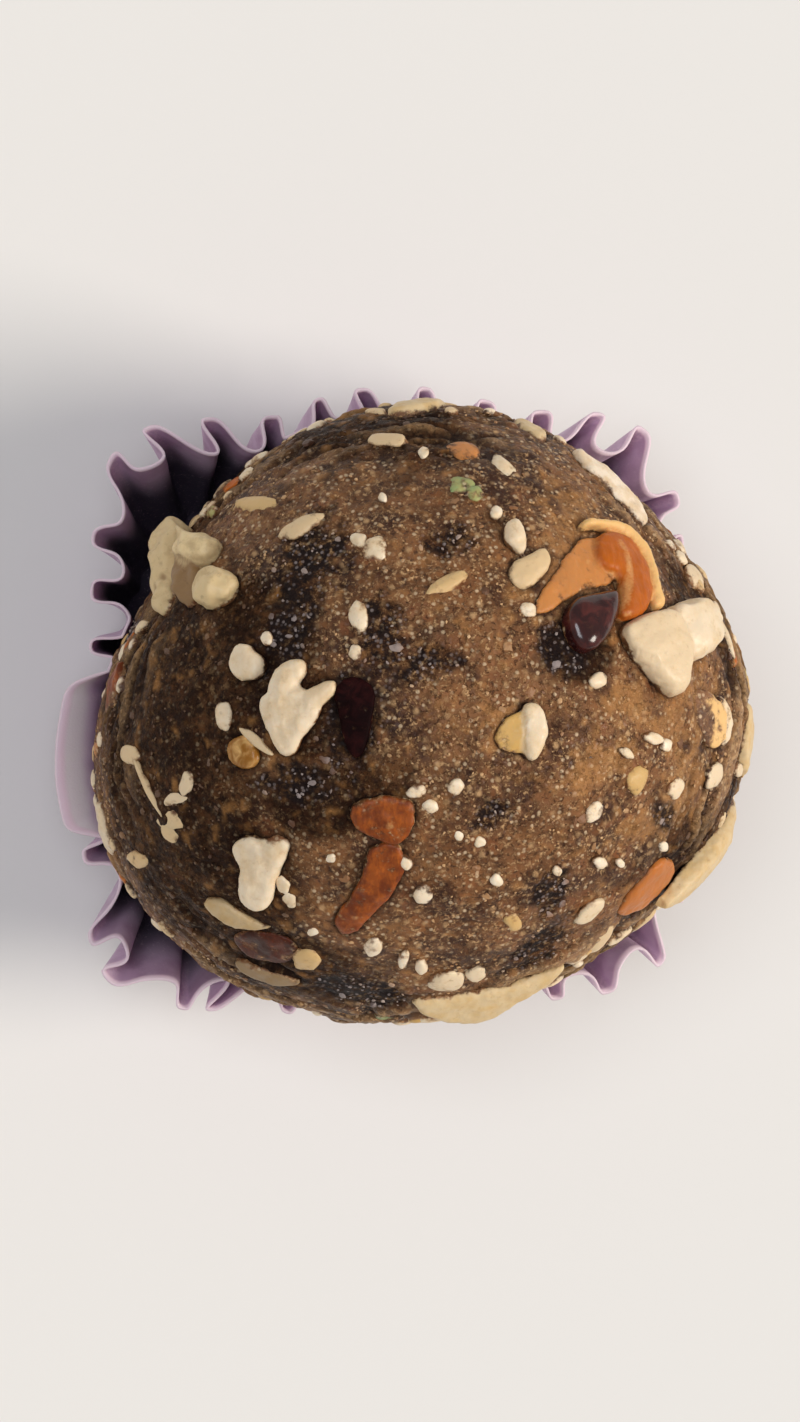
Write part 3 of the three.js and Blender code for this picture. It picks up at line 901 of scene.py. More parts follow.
def dough_skin():
    """Unit vectors spread evenly over the ball, and the faces between them."""
    mesh = bmesh.new()
    bmesh.ops.create_icosphere(mesh, subdivisions=DOUGH_ROUNDS, radius=1)
    bmesh.ops.subdivide_edges(mesh, edges=mesh.edges[:], cuts=DOUGH_CUTS, use_grid_fill=True)
    bmesh.ops.triangulate(mesh, faces=mesh.faces[:])
    mesh.verts.index_update()
    ways = np.array([v.co for v in mesh.verts])
    faces = np.array([[v.index for v in face.verts] for face in mesh.faces])
    mesh.free()
    return ways / np.linalg.norm(ways, axis=1)[:, None], faces


def in_patches(points, patches):
    """How deep points lie in any of the patches: 1 in the middle of one, 0 well outside."""
    depth = np.zeros(len(points))
    for place, long, short, slant in patches:
        ways = np.column_stack([place.right, place.up])
        flat = (points - place.point) @ np.linalg.pinv(ways).T
        cosine, sine = cosine_and_sine(slant)
        along = (flat[:, 0] * cosine + flat[:, 1] * sine) / long
        beside = (flat[:, 1] * cosine - flat[:, 0] * sine) / short
        away = np.abs((points - place.point) @ place.out) / PATCH_REACH
        depth = np.maximum(depth, np.exp(-(along ** 2 + beside ** 2 + away ** 2) ** 1.2))
    return depth


def patches_round(zones, dice, hidden_count):
    """The patches that the picture shows, and some for the sides it doesn't show."""
    patches = [(seen_place(p.right, p.up), p.long, p.short, p.slant) for p in zones.shown]
    while len(patches) < len(zones.shown) + hidden_count:
        lean, toward = dice.uniform(*HIDDEN_LEANS), dice.uniform(0, 360)
        sizes = dice.uniform(*zones.longs), dice.uniform(*zones.shorts)
        if direction(lean, toward) @ SIGHT < HIDDEN_FACING:
            patches.append((hidden_place(lean, toward, dice.uniform(0, 180)), *sizes, 0))
    return patches


def zone_mask(points, zones, dice, hidden_dates):
    """How much of a zone's own tone each point has, 0 to 1, with a torn edge."""
    depth = in_patches(points, patches_round(zones, dice, hidden_dates // zones.rarer))
    torn = np.array([fractal(Vector(p), zones.tear_size) for p in points])
    return np.clip(2.4 * (depth + zones.tear * torn) - zones.threshold, 0, 1)


def swell(place):
    """The dough's slow rise and fall."""
    return 0.26 * fractal(place, 6.5) + 0.16 * noise.noise(place / 2.1)


def dough_relief(place, way):
    """How far the dough stands out at a place, how deep in a crack that is, which sets the painted
    shade there, and how much of a pale layer shows there, both 0 to 1."""
    grainy = 0.5 + 0.5 * noise.noise(place / 5 + Vector((9, 2, 4)))
    near, second, tone = cells(place + 0.25 * noise.noise_vector(place / 1.1), 1.25)
    joint = max(0.0, 1 - 4.5 * (second - near))
    grain = grainy * (0.1 * tone - 0.14 * joint)
    fine = 0.05 * noise.noise(place / 0.5) + 0.03 * noise.noise(place / 0.3)
    level = way.dot(Vector(SIGHT))
    belt = min(1, max(0, (0.62 - level) / 0.3))
    folds = way * 2.6 + Vector(SIGHT) * level * 13 + 0.5 * noise.noise_vector(place / 4)
    wave = noise.noise(folds)
    ridge = max(0.0, 1 - 5 * abs(wave))
    wanted = min(1, max(0, 2 * noise.noise(place / 6 + Vector((3, 8, 1))) + 0.6))
    crease = belt * ridge * wanted
    layer = belt * wanted * min(1, max(0, 4 * wave - 0.4))
    relief = swell(place) + grain + fine - 0.5 * crease + 0.2 * layer
    return relief, min(1, 0.55 * joint * grainy + crease), layer


def dough_near_pieces(places, outward, reliefs, hollow_shades):
    """Presses the dough down beside each piece and keeps it inside the piece's own space, and
    marks where painted shade falls beside and under each piece.
    """
    tree = tree_of_pieces()
    for i, place in enumerate(places):
        where = Vector(place)
        nearest, normal, _, distance = tree.find_nearest(where, NEAR_PIECE)
        if nearest is None:
            continue
        inside = (where - nearest).dot(normal) < 0
        if inside:
            reliefs[i] = min(reliefs[i], 0) - min(DEEPEST_UNDER, distance + 0.1)
            hollow_shades[i] = 1
        else:
            close = 1 - distance / NEAR_PIECE
            lip = 0.12 * noise.noise(where / 1.3)
            reliefs[i] += lip * close - 0.22 * close ** 6
            hollow_shades[i] = max(hollow_shades[i], close ** 5)
    return reliefs, hollow_shades


def make_dough(dice, relief_share, hidden_dates):
    noise.seed_set(NOISE_SEED)  # without it noise_vector differs from run to run
    ways, faces = dough_skin()
    smooth = BALL_MIDDLE + ways * ball_radius(ways)[:, None]
    made = [dough_relief(Vector(p), Vector(w)) for p, w in zip(smooth, ways)]
    reliefs, hollow_shades, layers = (np.array(numbers) for numbers in zip(*made))
    masks = {label: zone_mask(smooth, zones, dice, hidden_dates) for label, zones in ZONES.items()}
    dates = masks["date"]
    reliefs = relief_share * reliefs * (1 - 0.35 * dates) - 0.1 * dates
    reliefs, hollow_shades = dough_near_pieces(smooth, ways, reliefs, hollow_shades)
    places = smooth + ways * reliefs[:, None]
    places[:, 2] = np.maximum(places[:, 2], DOUGH_FLAT)
    values = {"hollow": hollow_shades, "layer": layers, **masks}
    dough = new_object("ladoo_dough", places, faces, values)
    shade_smooth(dough)
    return dough


# ---- small bits, one mesh for each kind ----

RIM_LEAN = 108  # the paper hides what lies lower than this
CRUMB_LEAN = 114  # crumbs lie a little lower too
SHOWN_FACING = 0.25  # places that face the viewer less than this are left to the dice
BIT_GAP = 0.7  # between bits that aren't shown and the pieces
CRUMB_GAP = 0.5
LEAST_THICK = 0.2

# Each mesh of small bits: its slot; the bits that the picture shows, and whether the dice turn
# them; for the hidden sides how many bits are tried, how far apart they lie, and the ranges of
# their half lengths and half widths; and how thick bits are for their width, how far they stand
# out of the dough and how rough they are.
Bits = namedtuple("Bits", "slot shown turned tried spacing longs shorts thickness proud roughness")
BITS = {
    "nut_bits": Bits("cashew", NUT_BITS, False, 90, 3.0, (0.6, 1.3), (0.35, 0.6), 0.8, 0.3, 0.3),
    "seeds": Bits("cashew", SEEDS, True, 170, 2.0, (0.34, 0.7), (0.32, 0.6), 0.8, 0.26, 0.2),
    "pistachio_bits": Bits("cashew", PISTACHIO_BITS, False, 12, 6.0, (0.6, 1.0), (0.4, 0.6),
                           0.8, 0.25, 0.4),
    "almond_bits": Bits("almond_skin", ALMOND_BITS, False, 26, 5.0, (0.6, 1.1), (0.35, 0.6),
                        0.7, 0.2, 0.4),
}


def random_place(dice, lowest_lean):
    """Any place on the dough that isn't lower than a lean from the top."""
    height = dice.uniform(cosine_and_sine(lowest_lean)[0], 1)
    lean, toward = math.degrees(math.acos(height)), dice.uniform(-180, 180)
    return hidden_place(lean, toward, dice.uniform(0, 360))


def free_places(dice, count, spacing):
    """Random places on the dough that keep clear of the pieces and of each other."""
    tree = tree_of_pieces()
    found = []
    while len(found) < count:
        place = random_place(dice, RIM_LEAN)
        if tree.find_nearest(Vector(place.point), BIT_GAP)[0] is not None:
            continue
        offsets = np.array([other.point for other in found]).reshape(-1, 3) - place.point
        if (np.linalg.norm(offsets, axis=1) >= spacing).all():
            found.append(place)
    return found


def hidden_bits(kind, dice):
    """The place, half sizes, slant and tone of bits on the sides that the picture doesn't show."""
    bits = []
    for place in free_places(dice, kind.tried, kind.spacing):
        long, short, tone = dice.uniform(*kind.longs), dice.uniform(*kind.shorts), dice.random() ** 2
        if place.out @ SIGHT < SHOWN_FACING:
            bits.append((place, long, min(short, long), 0, tone))
    return bits


def shown_bits(kind, dice):
    """The same for the bits that the picture shows."""
    slants = [dice.uniform(0, 180) if kind.turned else bit.slant for bit in kind.shown]
    return [(seen_place(bit.right, bit.up), bit.long, bit.short, slant, bit.tone)
            for bit, slant in zip(kind.shown, slants)]


def make_bits(name, dice):
    kind = BITS[name]
    hidden = hidden_bits(kind, dice)
    pile = Pile()
    ball, faces = FINE
    for place, long, short, slant, tone in shown_bits(kind, dice) + hidden:
        thick = max(kind.thickness * short, LEAST_THICK)
        bit = chip(ball, dice, kind.roughness)
        bit = lie_on_ball(bit, place, long, short, slant, thick, kind.proud)
        pile.add(bit, faces, tone=tone, shade=dice.random())
    made = pile.to_object(name)
    store(made.data, "rise", height_over_ball(places_of(made.data)))
    shade_smooth(made)
    return made


# Crumbs of nut meal all over the dough: how many are tried, their smallest and largest half size,
# the palest tone they have, the ball each is made from, and how rough it is.
CRUMBS = [
    (110, 0.3, 0.46, 0.45, MEDIUM, 0.45),
    (560, 0.16, 0.28, 0.65, MEDIUM, 0.45),
    (5600, 0.07, 0.14, 0.85, COARSE, 0.8),
]


def make_crumbs(dice, density):
    pile = Pile()
    tree = tree_of_pieces()
    for count, smallest, largest, palest, (ball, faces), roughness in CRUMBS:
        for _ in range(round(count * density)):
            place = random_place(dice, CRUMB_LEAN)
            long = dice.uniform(smallest, largest)
            crumb = chip(ball, dice, roughness)
            short, thick = long * dice.uniform(0.5, 0.95), long * dice.uniform(0.4, 0.6)
            proud = thick * dice.uniform(0.0, 0.35)
            shade = palest * dice.random() ** 0.8
            where = Vector(place.point)
            sparse = dice.random() > 0.75 + 1.6 * noise.noise(where / 3.2)
            if sparse or tree.find_nearest(where, CRUMB_GAP)[0] is not None:
                continue
            place = place._replace(point=place.point + place.out * swell(where))
            crumb = lie_on_ball(crumb, place, long, short, 0, thick, proud)
            pile.add(crumb, faces, shade=shade)
    crumbs = pile.to_object("crumbs")
    places = places_of(crumbs.data)
    dough = bpy.data.objects["ladoo_dough"].data
    for label in ("date", "rich_and_shaded"):
        store(crumbs.data, label, numbers_near(places, places_of(dough), stored(dough, label)))
    return crumbs


# ---- the paper case ----

CASE_BASE_RADIUS = 14.4
CASE_HEIGHT = 13.3
RIM_HALF_SIZE = (19.6, 18.7)
RIM_SQUARENESS = 7
RIM_LEAN_OUT = 0.6
RIM_WAVE = 0.35
PLEATS = 38
FIRST_TIP = 92
PLEAT_DEPTH = 2.4
PRESSED_PLEAT_DEPTH = 1.4
PLEAT_VARIETY = 0.18
PLAIN_STRETCH = (188, 15, 0.6)  # where, half width, bulge
FLARE = 0.5  # how much of the plain stretch's slope comes only near its rim
PAPER_OFF_BALL = 0.65
STEPS_PER_PLEAT = 24
RIM_STEPS_PER_PLEAT = 40  # at which the rim's angles are worked out
WALL_ROWS = 30
BASE_ROWS = 7
VALLEY_LIFT = 0.7  # the paper is as long in a valley as on a tip, so there it reaches higher
CRUMPLE = 0.1
CRUMPLE_SIZE = 3.2


def plainness(around):
    """How much of the plain stretch a compass angle has, 0 to 1."""
    at, half, _ = PLAIN_STRETCH
    away = (around - at + 180) % 360 - 180
    return math.exp(-((away / half) ** 8))


def tip_radius(around):
    """How far out the pleat tips stand at the rim."""
    cosine, sine = cosine_and_sine(around)
    across = abs(cosine / RIM_HALF_SIZE[0]) ** RIM_SQUARENESS
    along = abs(sine / RIM_HALF_SIZE[1]) ** RIM_SQUARENESS
    square = (across + along) ** (-1 / RIM_SQUARENESS) - RIM_LEAN_OUT * sine
    drop = math.asin((BALL_MIDDLE[2] - CASE_HEIGHT) / BALL_HALF_SIZE[2])
    lean = 90 + math.degrees(drop)
    reach = ball_radius(direction(lean, around)[None, :])[0] * cosine_and_sine(lean)[1]
    pressed = reach + PAPER_OFF_BALL + PRESSED_PLEAT_DEPTH
    return max(square, pressed) + PLAIN_STRETCH[2] * plainness(around)


def rim_angles():
    """Compass angles from the first tip on, at places spread evenly along the rim."""
    angles = FIRST_TIP + np.linspace(0, 360, 1441)
    radii = np.array([tip_radius(angle) for angle in angles])
    across, along = radii * np.cos(np.radians(angles)), radii * np.sin(np.radians(angles))
    steps = np.hypot(np.diff(across, prepend=across[0]), np.diff(along, prepend=along[0]))
    lengths = np.cumsum(steps)
    shares = np.linspace(0, 1, PLEATS * RIM_STEPS_PER_PLEAT + 1)
    return np.interp(shares, lengths / lengths[-1], angles)


def rim_angle(angles, turn):
    """The compass angle at a count of pleats from the first tip."""
    steps = turn % PLEATS * RIM_STEPS_PER_PLEAT
    return float(np.interp(steps, np.arange(len(angles)), angles))


def wall_point(angles, column, up):
    """A point of the pleated wall, how near it is to a pleat's tip, and how plain the paper is.

    A column's turn counts pleats, with a tip at each whole number. Squeeze makes tips narrow and
    valleys wide, steep makes the sides of the pleats stand up, and lean carries tips sideways.
    """
    turn, offset, squeeze, steep, lean = column
    wave = 0.5 + 0.5 * math.cos(2 * math.pi * turn)
    blunt = min(wave, 0.9 + 0.3 * (wave - 0.9))
    shift = steep * math.sin(4 * math.pi * turn) / (4 * math.pi)
    shift += lean * wave * up - squeeze * math.sin(2 * math.pi * turn) / (2 * math.pi)
    calm = 1 - plainness(rim_angle(angles, turn))
    angle = rim_angle(angles, turn + calm * (offset + shift * up))
    flat = plainness(angle)
    variety = 1 + PLEAT_VARIETY * math.sin(math.radians(9 * angle) + 0.7)
    depth = PLEAT_DEPTH * variety * (0.12 + 0.88 * up) * (1 - flat)
    share = up + flat * FLARE * (up ** 6 - up)
    radius = CASE_BASE_RADIUS + share * (tip_radius(angle) - CASE_BASE_RADIUS) - depth * (1 - blunt)
    height = CASE_HEIGHT * up + VALLEY_LIFT * up * (1 - wave) * (1 - flat)
    height += RIM_WAVE * up * up * math.sin(math.radians(3 * angle) + 1)
    cosine, sine = cosine_and_sine(angle)
    return np.array([radius * cosine, radius * sine, height]), wave, flat * up ** 7


def keep_off_ball(points, clearance):
    """Moves points of the wall straight outward until they clear the ball."""
    ways, distances = ways_from_middle(points)
    needed = ball_radius(ways) + clearance
    radii = np.linalg.norm(points[:, :2], axis=1)
    push = np.maximum(needed - distances, 0) * distances / np.maximum(radii, 1) ** 2
    points[:, :2] *= 1 + push[:, None]
    return points


def pleat_columns(dice):
    """The upright lines of the wall: where each stands, and how its pleat is folded."""
    folds = [(dice.uniform(-0.17, 0.17), dice.uniform(0.35, 0.75), dice.uniform(0.45, 1.0),
              dice.uniform(-0.3, 0.3)) for _ in range(PLEATS)]
    columns = []
    for step in range(PLEATS * STEPS_PER_PLEAT):
        turn = step / STEPS_PER_PLEAT
        before, after = folds[int(turn)], folds[(int(turn) + 1) % PLEATS]
        share = turn % 1
        share = share * share * (3 - 2 * share)
        offset, *fold = (a + share * (b - a) for a, b in zip(before, after))
        columns.append((turn, offset, *fold))
    return columns


def case_faces(around):
    """Triangles round the middle of the base, then squares out along it and up to the rim."""
    faces = [[0, 1 + (i + 1) % around, 1 + i] for i in range(around)]
    for row in range(BASE_ROWS + WALL_ROWS - 1):
        start = 1 + row * around
        for i in range(around):
            j = (i + 1) % around
            faces.append([start + j, start + around + j, start + around + i, start + i])
    return faces


def make_case(dice, thickness, clearance):
    """The pleated cup as one sheet from the middle of its base to its rim, then thickened."""
    angles = rim_angles()
    columns = pleat_columns(dice)
    around = len(columns)
    rows, crests, heights, plains = [], [], [], []
    for row in range(WALL_ROWS + 1):
        up = (row / WALL_ROWS) ** 0.9
        made = [wall_point(angles, column, up) for column in columns]
        points, waves, flats = zip(*made)
        rows.append(keep_off_ball(np.array(points), clearance))
        crests.append(waves)
        plains.append(flats)
        heights.append([up] * around)
    rings = [rows[0] * (row / BASE_ROWS, row / BASE_ROWS, 1) for row in range(1, BASE_ROWS)]
    points = np.concatenate([np.zeros((1, 3)), *rings, *rows])
    points[:, 2] += thickness
    base = np.zeros(len(rings) * around + 1)
    # Height and plain place the painted highlight, shade and light on the paper.
    values = {"crest": crests, "height": heights, "plain": plains}
    values = {label: np.concatenate([base, *numbers]) for label, numbers in values.items()}
    crumple = np.array([CRUMPLE * fractal(Vector(p), CRUMPLE_SIZE) for p in points])
    radii = np.maximum(np.linalg.norm(points[:, :2], axis=1), 1)
    points[:, :2] *= 1 + (crumple * values["height"] / radii)[:, None]
    case = new_object("paper_case_pleated", points, case_faces(around), values)
    solidify = case.modifiers.new("Paper", "SOLIDIFY")
    solidify.thickness = thickness * MM
    solidify.offset = 1
    apply_modifiers(case)
    # Inner picks the side of the sheet that takes the painted shade inside the cup.
    store(case.data, "inner", np.arange(len(case.data.vertices)) >= len(points))
    shade_smooth(case)
    return case


# ---- node trees ----


class Wiring:
    """Adds nodes to one node tree and joins them up. A value is a number, a colour or a socket."""

    ROW = 8

    def __init__(self, tree):
        self.tree = tree

    def add(self, kind, feeds=None, **settings):
        node = self.tree.nodes.new(kind)
        count = len(self.tree.nodes)
        node.location = (220 * (count % self.ROW), -280 * (count // self.ROW))
        for name, value in settings.items():
            setattr(node, name, value)
        for socket, value in (feeds or {}).items():
            self.feed(node.inputs[socket], value)
        return node

    def feed(self, socket, value):
        if isinstance(value, bpy.types.NodeSocket):
            self.tree.links.new(value, socket)
        elif socket.type == "RGBA" and len(value) == 3:
            socket.default_value = (*value, 1)
        else:
            socket.default_value = value

    def millimetres(self):
        """Places on the object, in millimetres."""
        place = self.add("ShaderNodeTexCoord").outputs["Object"]
        scaled = self.add("ShaderNodeVectorMath", {0: place}, operation="SCALE")
        scaled.inputs["Scale"].default_value = 1 / MM
        return scaled.outputs["Vector"]

    def drawn_out(self, place, shares):
        """Places closer together along some axes, which draws a texture out along them."""
        return self.add("ShaderNodeVectorMath", {0: place, 1: shares},
                        operation="MULTIPLY").outputs["Vector"]

    def noise(self, place, size, detail=3, roughness=0.5, distortion=0.0):
        """Cloudy noise, 0 to 1, with features of about one size in millimetres."""
        return self.add("ShaderNodeTexNoise", {
            "Vector": place,
            "Scale": 1 / size,
            "Detail": detail,
            "Roughness": roughness,
            "Distortion": distortion,
        }).outputs["Fac"]

    def grains(self, place, size):
        """How far a place is from the nearest of many points, and three numbers for that point."""
        cells = self.add("ShaderNodeTexVoronoi", {"Vector": place, "Scale": 1 / size}).outputs
        numbers = self.add("ShaderNodeSeparateColor", {0: cells["Color"]}).outputs
        return cells["Distance"], numbers

    def math(self, operation, first, second):
        return self.add("ShaderNodeMath", {0: first, 1: second}, operation=operation).outputs[0]

    def times(self, first, second):
        return self.math("MULTIPLY", first, second)

    def step(self, value, low, high, bottom=0.0, top=1.0):
        """Rises smoothly from bottom at low to top at high."""
        return self.add("ShaderNodeMapRange", {
            "Value": value, "From Min": low, "From Max": high, "To Min": bottom, "To Max": top,
        }, interpolation_type="SMOOTHSTEP").outputs["Result"]

    def mix(self, mask, first, second):
        """The first colour where the mask is 0, and the second where it is 1."""
        return self.add("ShaderNodeMix", {0: mask, 6: first, 7: second},
                        data_type="RGBA").outputs[2]

    def value(self, label):
        """A number that the mesh holds for each vertex."""
        return self.add("ShaderNodeAttribute", attribute_name=label).outputs["Fac"]

    def group(self, name, build, feeds=None):
        """A shared group, built where it is first needed."""
        tree = bpy.data.node_groups.get(name) or build(name)
        return self.add("ShaderNodeGroup", feeds, node_tree=tree).outputs


SOCKETS = {"number": "NodeSocketFloat", "colour": "NodeSocketColor"}


def new_group(name, inputs, outputs):
    """An empty shader node group. Its sockets are given as name: kind."""
    tree = bpy.data.node_groups.new(name, "ShaderNodeTree")
    for label, kind in inputs.items():
        tree.interface.new_socket(label, in_out="INPUT", socket_type=SOCKETS[kind])
    for label, kind in outputs.items():
        tree.interface.new_socket(label, in_out="OUTPUT", socket_type=SOCKETS[kind])
    wiring = Wiring(tree)
    return wiring, wiring.add("NodeGroupInput").outputs, wiring.add("NodeGroupOutput").inputs


def dough_colour_group(name):
    """Nut meal bound with dates: a cloudy ground, soft grains, and fine pale and dark specks; the
    palest specks are partly pale grains and partly painted glints.
    """
    colours = ("Dark", "Middle", "Light", "Reddish", "Speck and glint")
    w, given, out = new_group(name, {label: "colour" for label in colours},
                              {"Color": "colour", "Height": "number"})
    place = w.millimetres()
    cloud = w.step(w.noise(place, 3.4, 5, 0.66), 0.36, 0.62)
    ground = w.mix(cloud, given["Dark"], given["Middle"])
    skins = w.step(w.noise(place, 1.7, 4), 0.54, 0.74, 0, 0.6)
    ground = w.mix(skins, ground, given["Reddish"])
    salt = w.noise(place, 0.3, 4, 0.75)
    patchy = w.step(w.noise(place, 2.2, 3), 0.3, 0.62, 0.4, 1)
    ground = w.mix(w.times(w.step(salt, 0.5, 0.68), patchy), ground, given["Light"])
    pepper = w.step(w.noise(place, 0.36, 4, 0.7, 0.4), 0.46, 0.34, 0, 0.75)
    ground = w.mix(pepper, ground, given["Dark"])
    distance, chosen = w.grains(place, 0.62)
    dome = w.step(distance, 0.5, 0.12)
    grain = w.times(w.times(dome, w.step(chosen[0], 0.68, 0.8, 0, 0.75)), patchy)
    ground = w.mix(grain, ground, given["Light"])
    distance, picked = w.grains(place, 0.34)
    # Palest specks: partly pale grains, partly painted glints.
    speck_and_glint = w.times(w.step(picked[0], 0.74, 0.84, 0, 0.65), w.step(distance, 0.5, 0.2))
    w.feed(out["Color"], w.mix(speck_and_glint, ground, given["Speck and glint"]))
    height = w.math("ADD", w.times(dome, chosen[2]), w.step(salt, 0.42, 0.7, 0, 0.7))
    height = w.math("ADD", height, w.times(speck_and_glint, 0.4))
    w.feed(out["Height"], w.math("SUBTRACT", height, pepper))
    return w.tree


def smear_group(name):
    """Where dough clings to a piece: low on its sides, and in a few thin smudges on its top."""
    w, given, out = new_group(name, {"Reach": "number", "Dust": "number"}, {"Mask": "number"})
    place = w.millimetres()
    ragged = w.times(w.math("SUBTRACT", 0.5, w.noise(place, 0.9, 4, 0.6)), 1.1)
    rise = w.math("ADD", w.value("rise"), ragged)
    cling = w.step(w.math("SUBTRACT", given["Reach"], rise), -0.12, 0.12)
    smudge = w.times(w.step(w.noise(place, 0.7, 5, 0.7), 0.56, 0.7), given["Dust"])
    w.feed(out["Mask"], w.math("MAXIMUM", cling, smudge))
    return w.tree


def mottle_group(name):
    """A soft patchy mask with fine pores in it, for cut nuts."""
    w, given, out = new_group(name, {"Size": "number"}, {"Mask": "number", "Pores": "number"})
    place = w.millimetres()
    patches = w.noise(place, 1, 4, 0.6)
    w.feed(patches.node.inputs["Scale"], w.math("DIVIDE", 1.0, given["Size"]))
    w.feed(out["Mask"], w.step(patches, 0.35, 0.68))
    w.feed(out["Pores"], w.noise(place, 0.3, 3))
    return w.tree


def new_material(name):
    """A material with a bare surface shader, and the wiring of its tree."""
    if name in bpy.data.materials:
        bpy.data.materials.remove(bpy.data.materials[name])
    material = bpy.data.materials.new(name)
    material.use_nodes = True
    shader = material.node_tree.nodes["Principled BSDF"]
    return material, Wiring(material.node_tree), shader


def add_bump(w, shader, height, depth):
    """Fine relief, with the depth in millimetres that a height of 1 stands for."""
    bump = w.add("ShaderNodeBump", {"Height": height, "Distance": depth * MM, "Strength": 1.0})
    w.feed(shader.inputs["Normal"], bump.outputs["Normal"])


def let_light_in(shader, weight, reach, depth):
    """Light travels under the surface to a depth in millimetres. Reach is each colour's share."""
    shader.inputs["Subsurface Weight"].default_value = weight
    shader.inputs["Subsurface Radius"].default_value = reach
    shader.inputs["Subsurface Scale"].default_value = depth * MM


def dough_colours(w):
    look = bpy.context.scene.ladoo_dough
    return w.group("Dough colour", dough_colour_group, {
        "Dark": look.dark, "Middle": look.middle, "Light": look.light, "Reddish": look.reddish,
        "Speck and glint": look.pale,
    })


def clinging_dough(w, reach, dust):
    """Where dough clings to a piece, and the dough's colour and relief there."""
    mask = w.group("Dough smear", smear_group, {"Reach": reach, "Dust": dust})["Mask"]
    meal = dough_colours(w)
    return mask, meal["Color"], meal["Height"]


def dough_material():
    look = bpy.context.scene.ladoo_dough
    material, w, shader = new_material("ladoo_dough")
    meal = dough_colours(w)
    place = w.millimetres()
    date, rich_and_shaded = w.value("date"), w.value("rich_and_shaded")
    distance, chosen = w.grains(place, 0.3)
    # Pale specks on bare date skin: partly seeds, partly painted glints.
    pale_specks = w.times(w.step(chosen[0], 0.4, 0.7), w.step(distance, 0.5, 0.2))
    syrup = w.mix(w.times(pale_specks, 0.7), look.date, look.specks_and_glints)
    covered = w.times(date, w.step(w.noise(place, 0.6, 4, 0.7), 0.68, 0.42, 0.35, 0.97))
    spread = w.step(w.noise(place, 0.5, 4, 0.7), 0.35, 0.62, 0.97, 0.66)
    # Darker in the rich zones: partly more date, partly painted shade.
    colour = w.mix(w.times(rich_and_shaded, spread), meal["Color"], look.rich_and_shaded)
    colour = w.mix(w.times(w.value("golden"), w.times(spread, 0.66)), colour, look.golden)
    layer = w.times(w.value("layer"), w.step(meal["Height"], -0.4, 1.1, 0.25, 0.85))
    colour = w.mix(layer, colour, look.light)
    colour = w.mix(covered, colour, syrup)
    # Painted shade in the cracks and beside and under the pieces.
    colour = w.mix(w.times(w.value("hollow"), 0.8), colour, look.date)
    w.feed(shader.inputs["Base Color"], colour)
    w.feed(shader.inputs["Roughness"], w.step(w.noise(place, 0.6, 3), 0.35, 0.7, 0.4, 0.66))
    shine = w.step(w.math("MAXIMUM", date, rich_and_shaded), 0, 1, 0.26, 0.08)
    w.feed(shader.inputs["Specular IOR Level"], shine)
    add_bump(w, shader, meal["Height"], 0.07)
    return material


def nut_material(name, pale, deep, size, roughness, reach, dust):
    """A cut nut: two tones that follow the piece's own tone and a mottle, with dough on it."""
    material, w, shader = new_material(name)
    mottle = w.group("Nut mottle", mottle_group, {"Size": size})
    smear, dough, relief = clinging_dough(w, reach, dust)
    depth = w.math("MAXIMUM", w.value("tone"), w.times(mottle["Mask"], 0.4))
    colour = w.mix(depth, pale, deep)
    w.feed(shader.inputs["Base Color"], w.mix(smear, colour, dough))
    w.feed(shader.inputs["Roughness"], w.step(mottle["Mask"], 0, 1, roughness, roughness + 0.14))
    let_light_in(shader, 0.12, (1.0, 0.6, 0.35), 0.6)
    add_bump(w, shader, w.math("ADD", mottle["Pores"], w.times(relief, smear)), 0.035)
    return material


def flake_material(name, flesh):
    """A sliced almond: cream on its cut faces, with the brown skin left along its edge."""
    look = bpy.context.scene.ladoo_nuts
    material, w, shader = new_material(name)
    mottle = w.group("Nut mottle", mottle_group, {"Size": 1.1})
    smear, dough, relief = clinging_dough(w, 0.02, 0.25)
    colour = w.mix(w.times(mottle["Mask"], 0.5), flesh, look.cashew_golden)
    edge = w.math("ADD", w.value("side"), w.times(w.noise(w.millimetres(), 0.8), 0.3))
    colour = w.mix(w.step(edge, 1.1, 1.24, 0, 0.8), colour, look.almond_skin)
    colour = w.mix(w.value("tone"), colour, look.dull)
    w.feed(shader.inputs["Base Color"], w.mix(smear, colour, dough))
    shader.inputs["Roughness"].default_value = 0.48
    let_light_in(shader, 0.1, (1.0, 0.6, 0.35), 0.5)
    add_bump(w, shader, w.math("ADD", mottle["Pores"], w.times(relief, smear)), 0.04)
    return material


def skin_material(name, skin, deep, flesh, reach=0.06, dust=0.8):
    """Almond skin: brown, finely veined, worn through to the flesh where the piece is cut."""
    material, w, shader = new_material(name)
    smear, dough, relief = clinging_dough(w, reach, dust)
    place = w.millimetres()
    veins = w.noise(w.drawn_out(place, (1.0, 0.3, 0.6)), 0.28, 4, 0.6)
    cloud = w.step(w.noise(place, 1.5, 4, 0.6), 0.4, 0.62)
    colour = w.mix(w.times(cloud, 0.75), skin, deep)
    colour = w.mix(w.step(veins, 0.42, 0.64, 0.4, 0), colour, deep)
    rubbed = w.step(w.noise(place, 1.2, 4), 0.6, 0.76, 0, 0.5)
    colour = w.mix(w.math("MAXIMUM", w.value("tone"), rubbed), colour, flesh)
    w.feed(shader.inputs["Base Color"], w.mix(smear, colour, dough))
    shader.inputs["Roughness"].default_value = 0.42
    shader.inputs["Specular IOR Level"].default_value = 0.25
    let_light_in(shader, 0.15, (1.0, 0.35, 0.12), 0.7)
    add_bump(w, shader, w.math("ADD", veins, w.times(relief, smear)), 0.05)
    return material


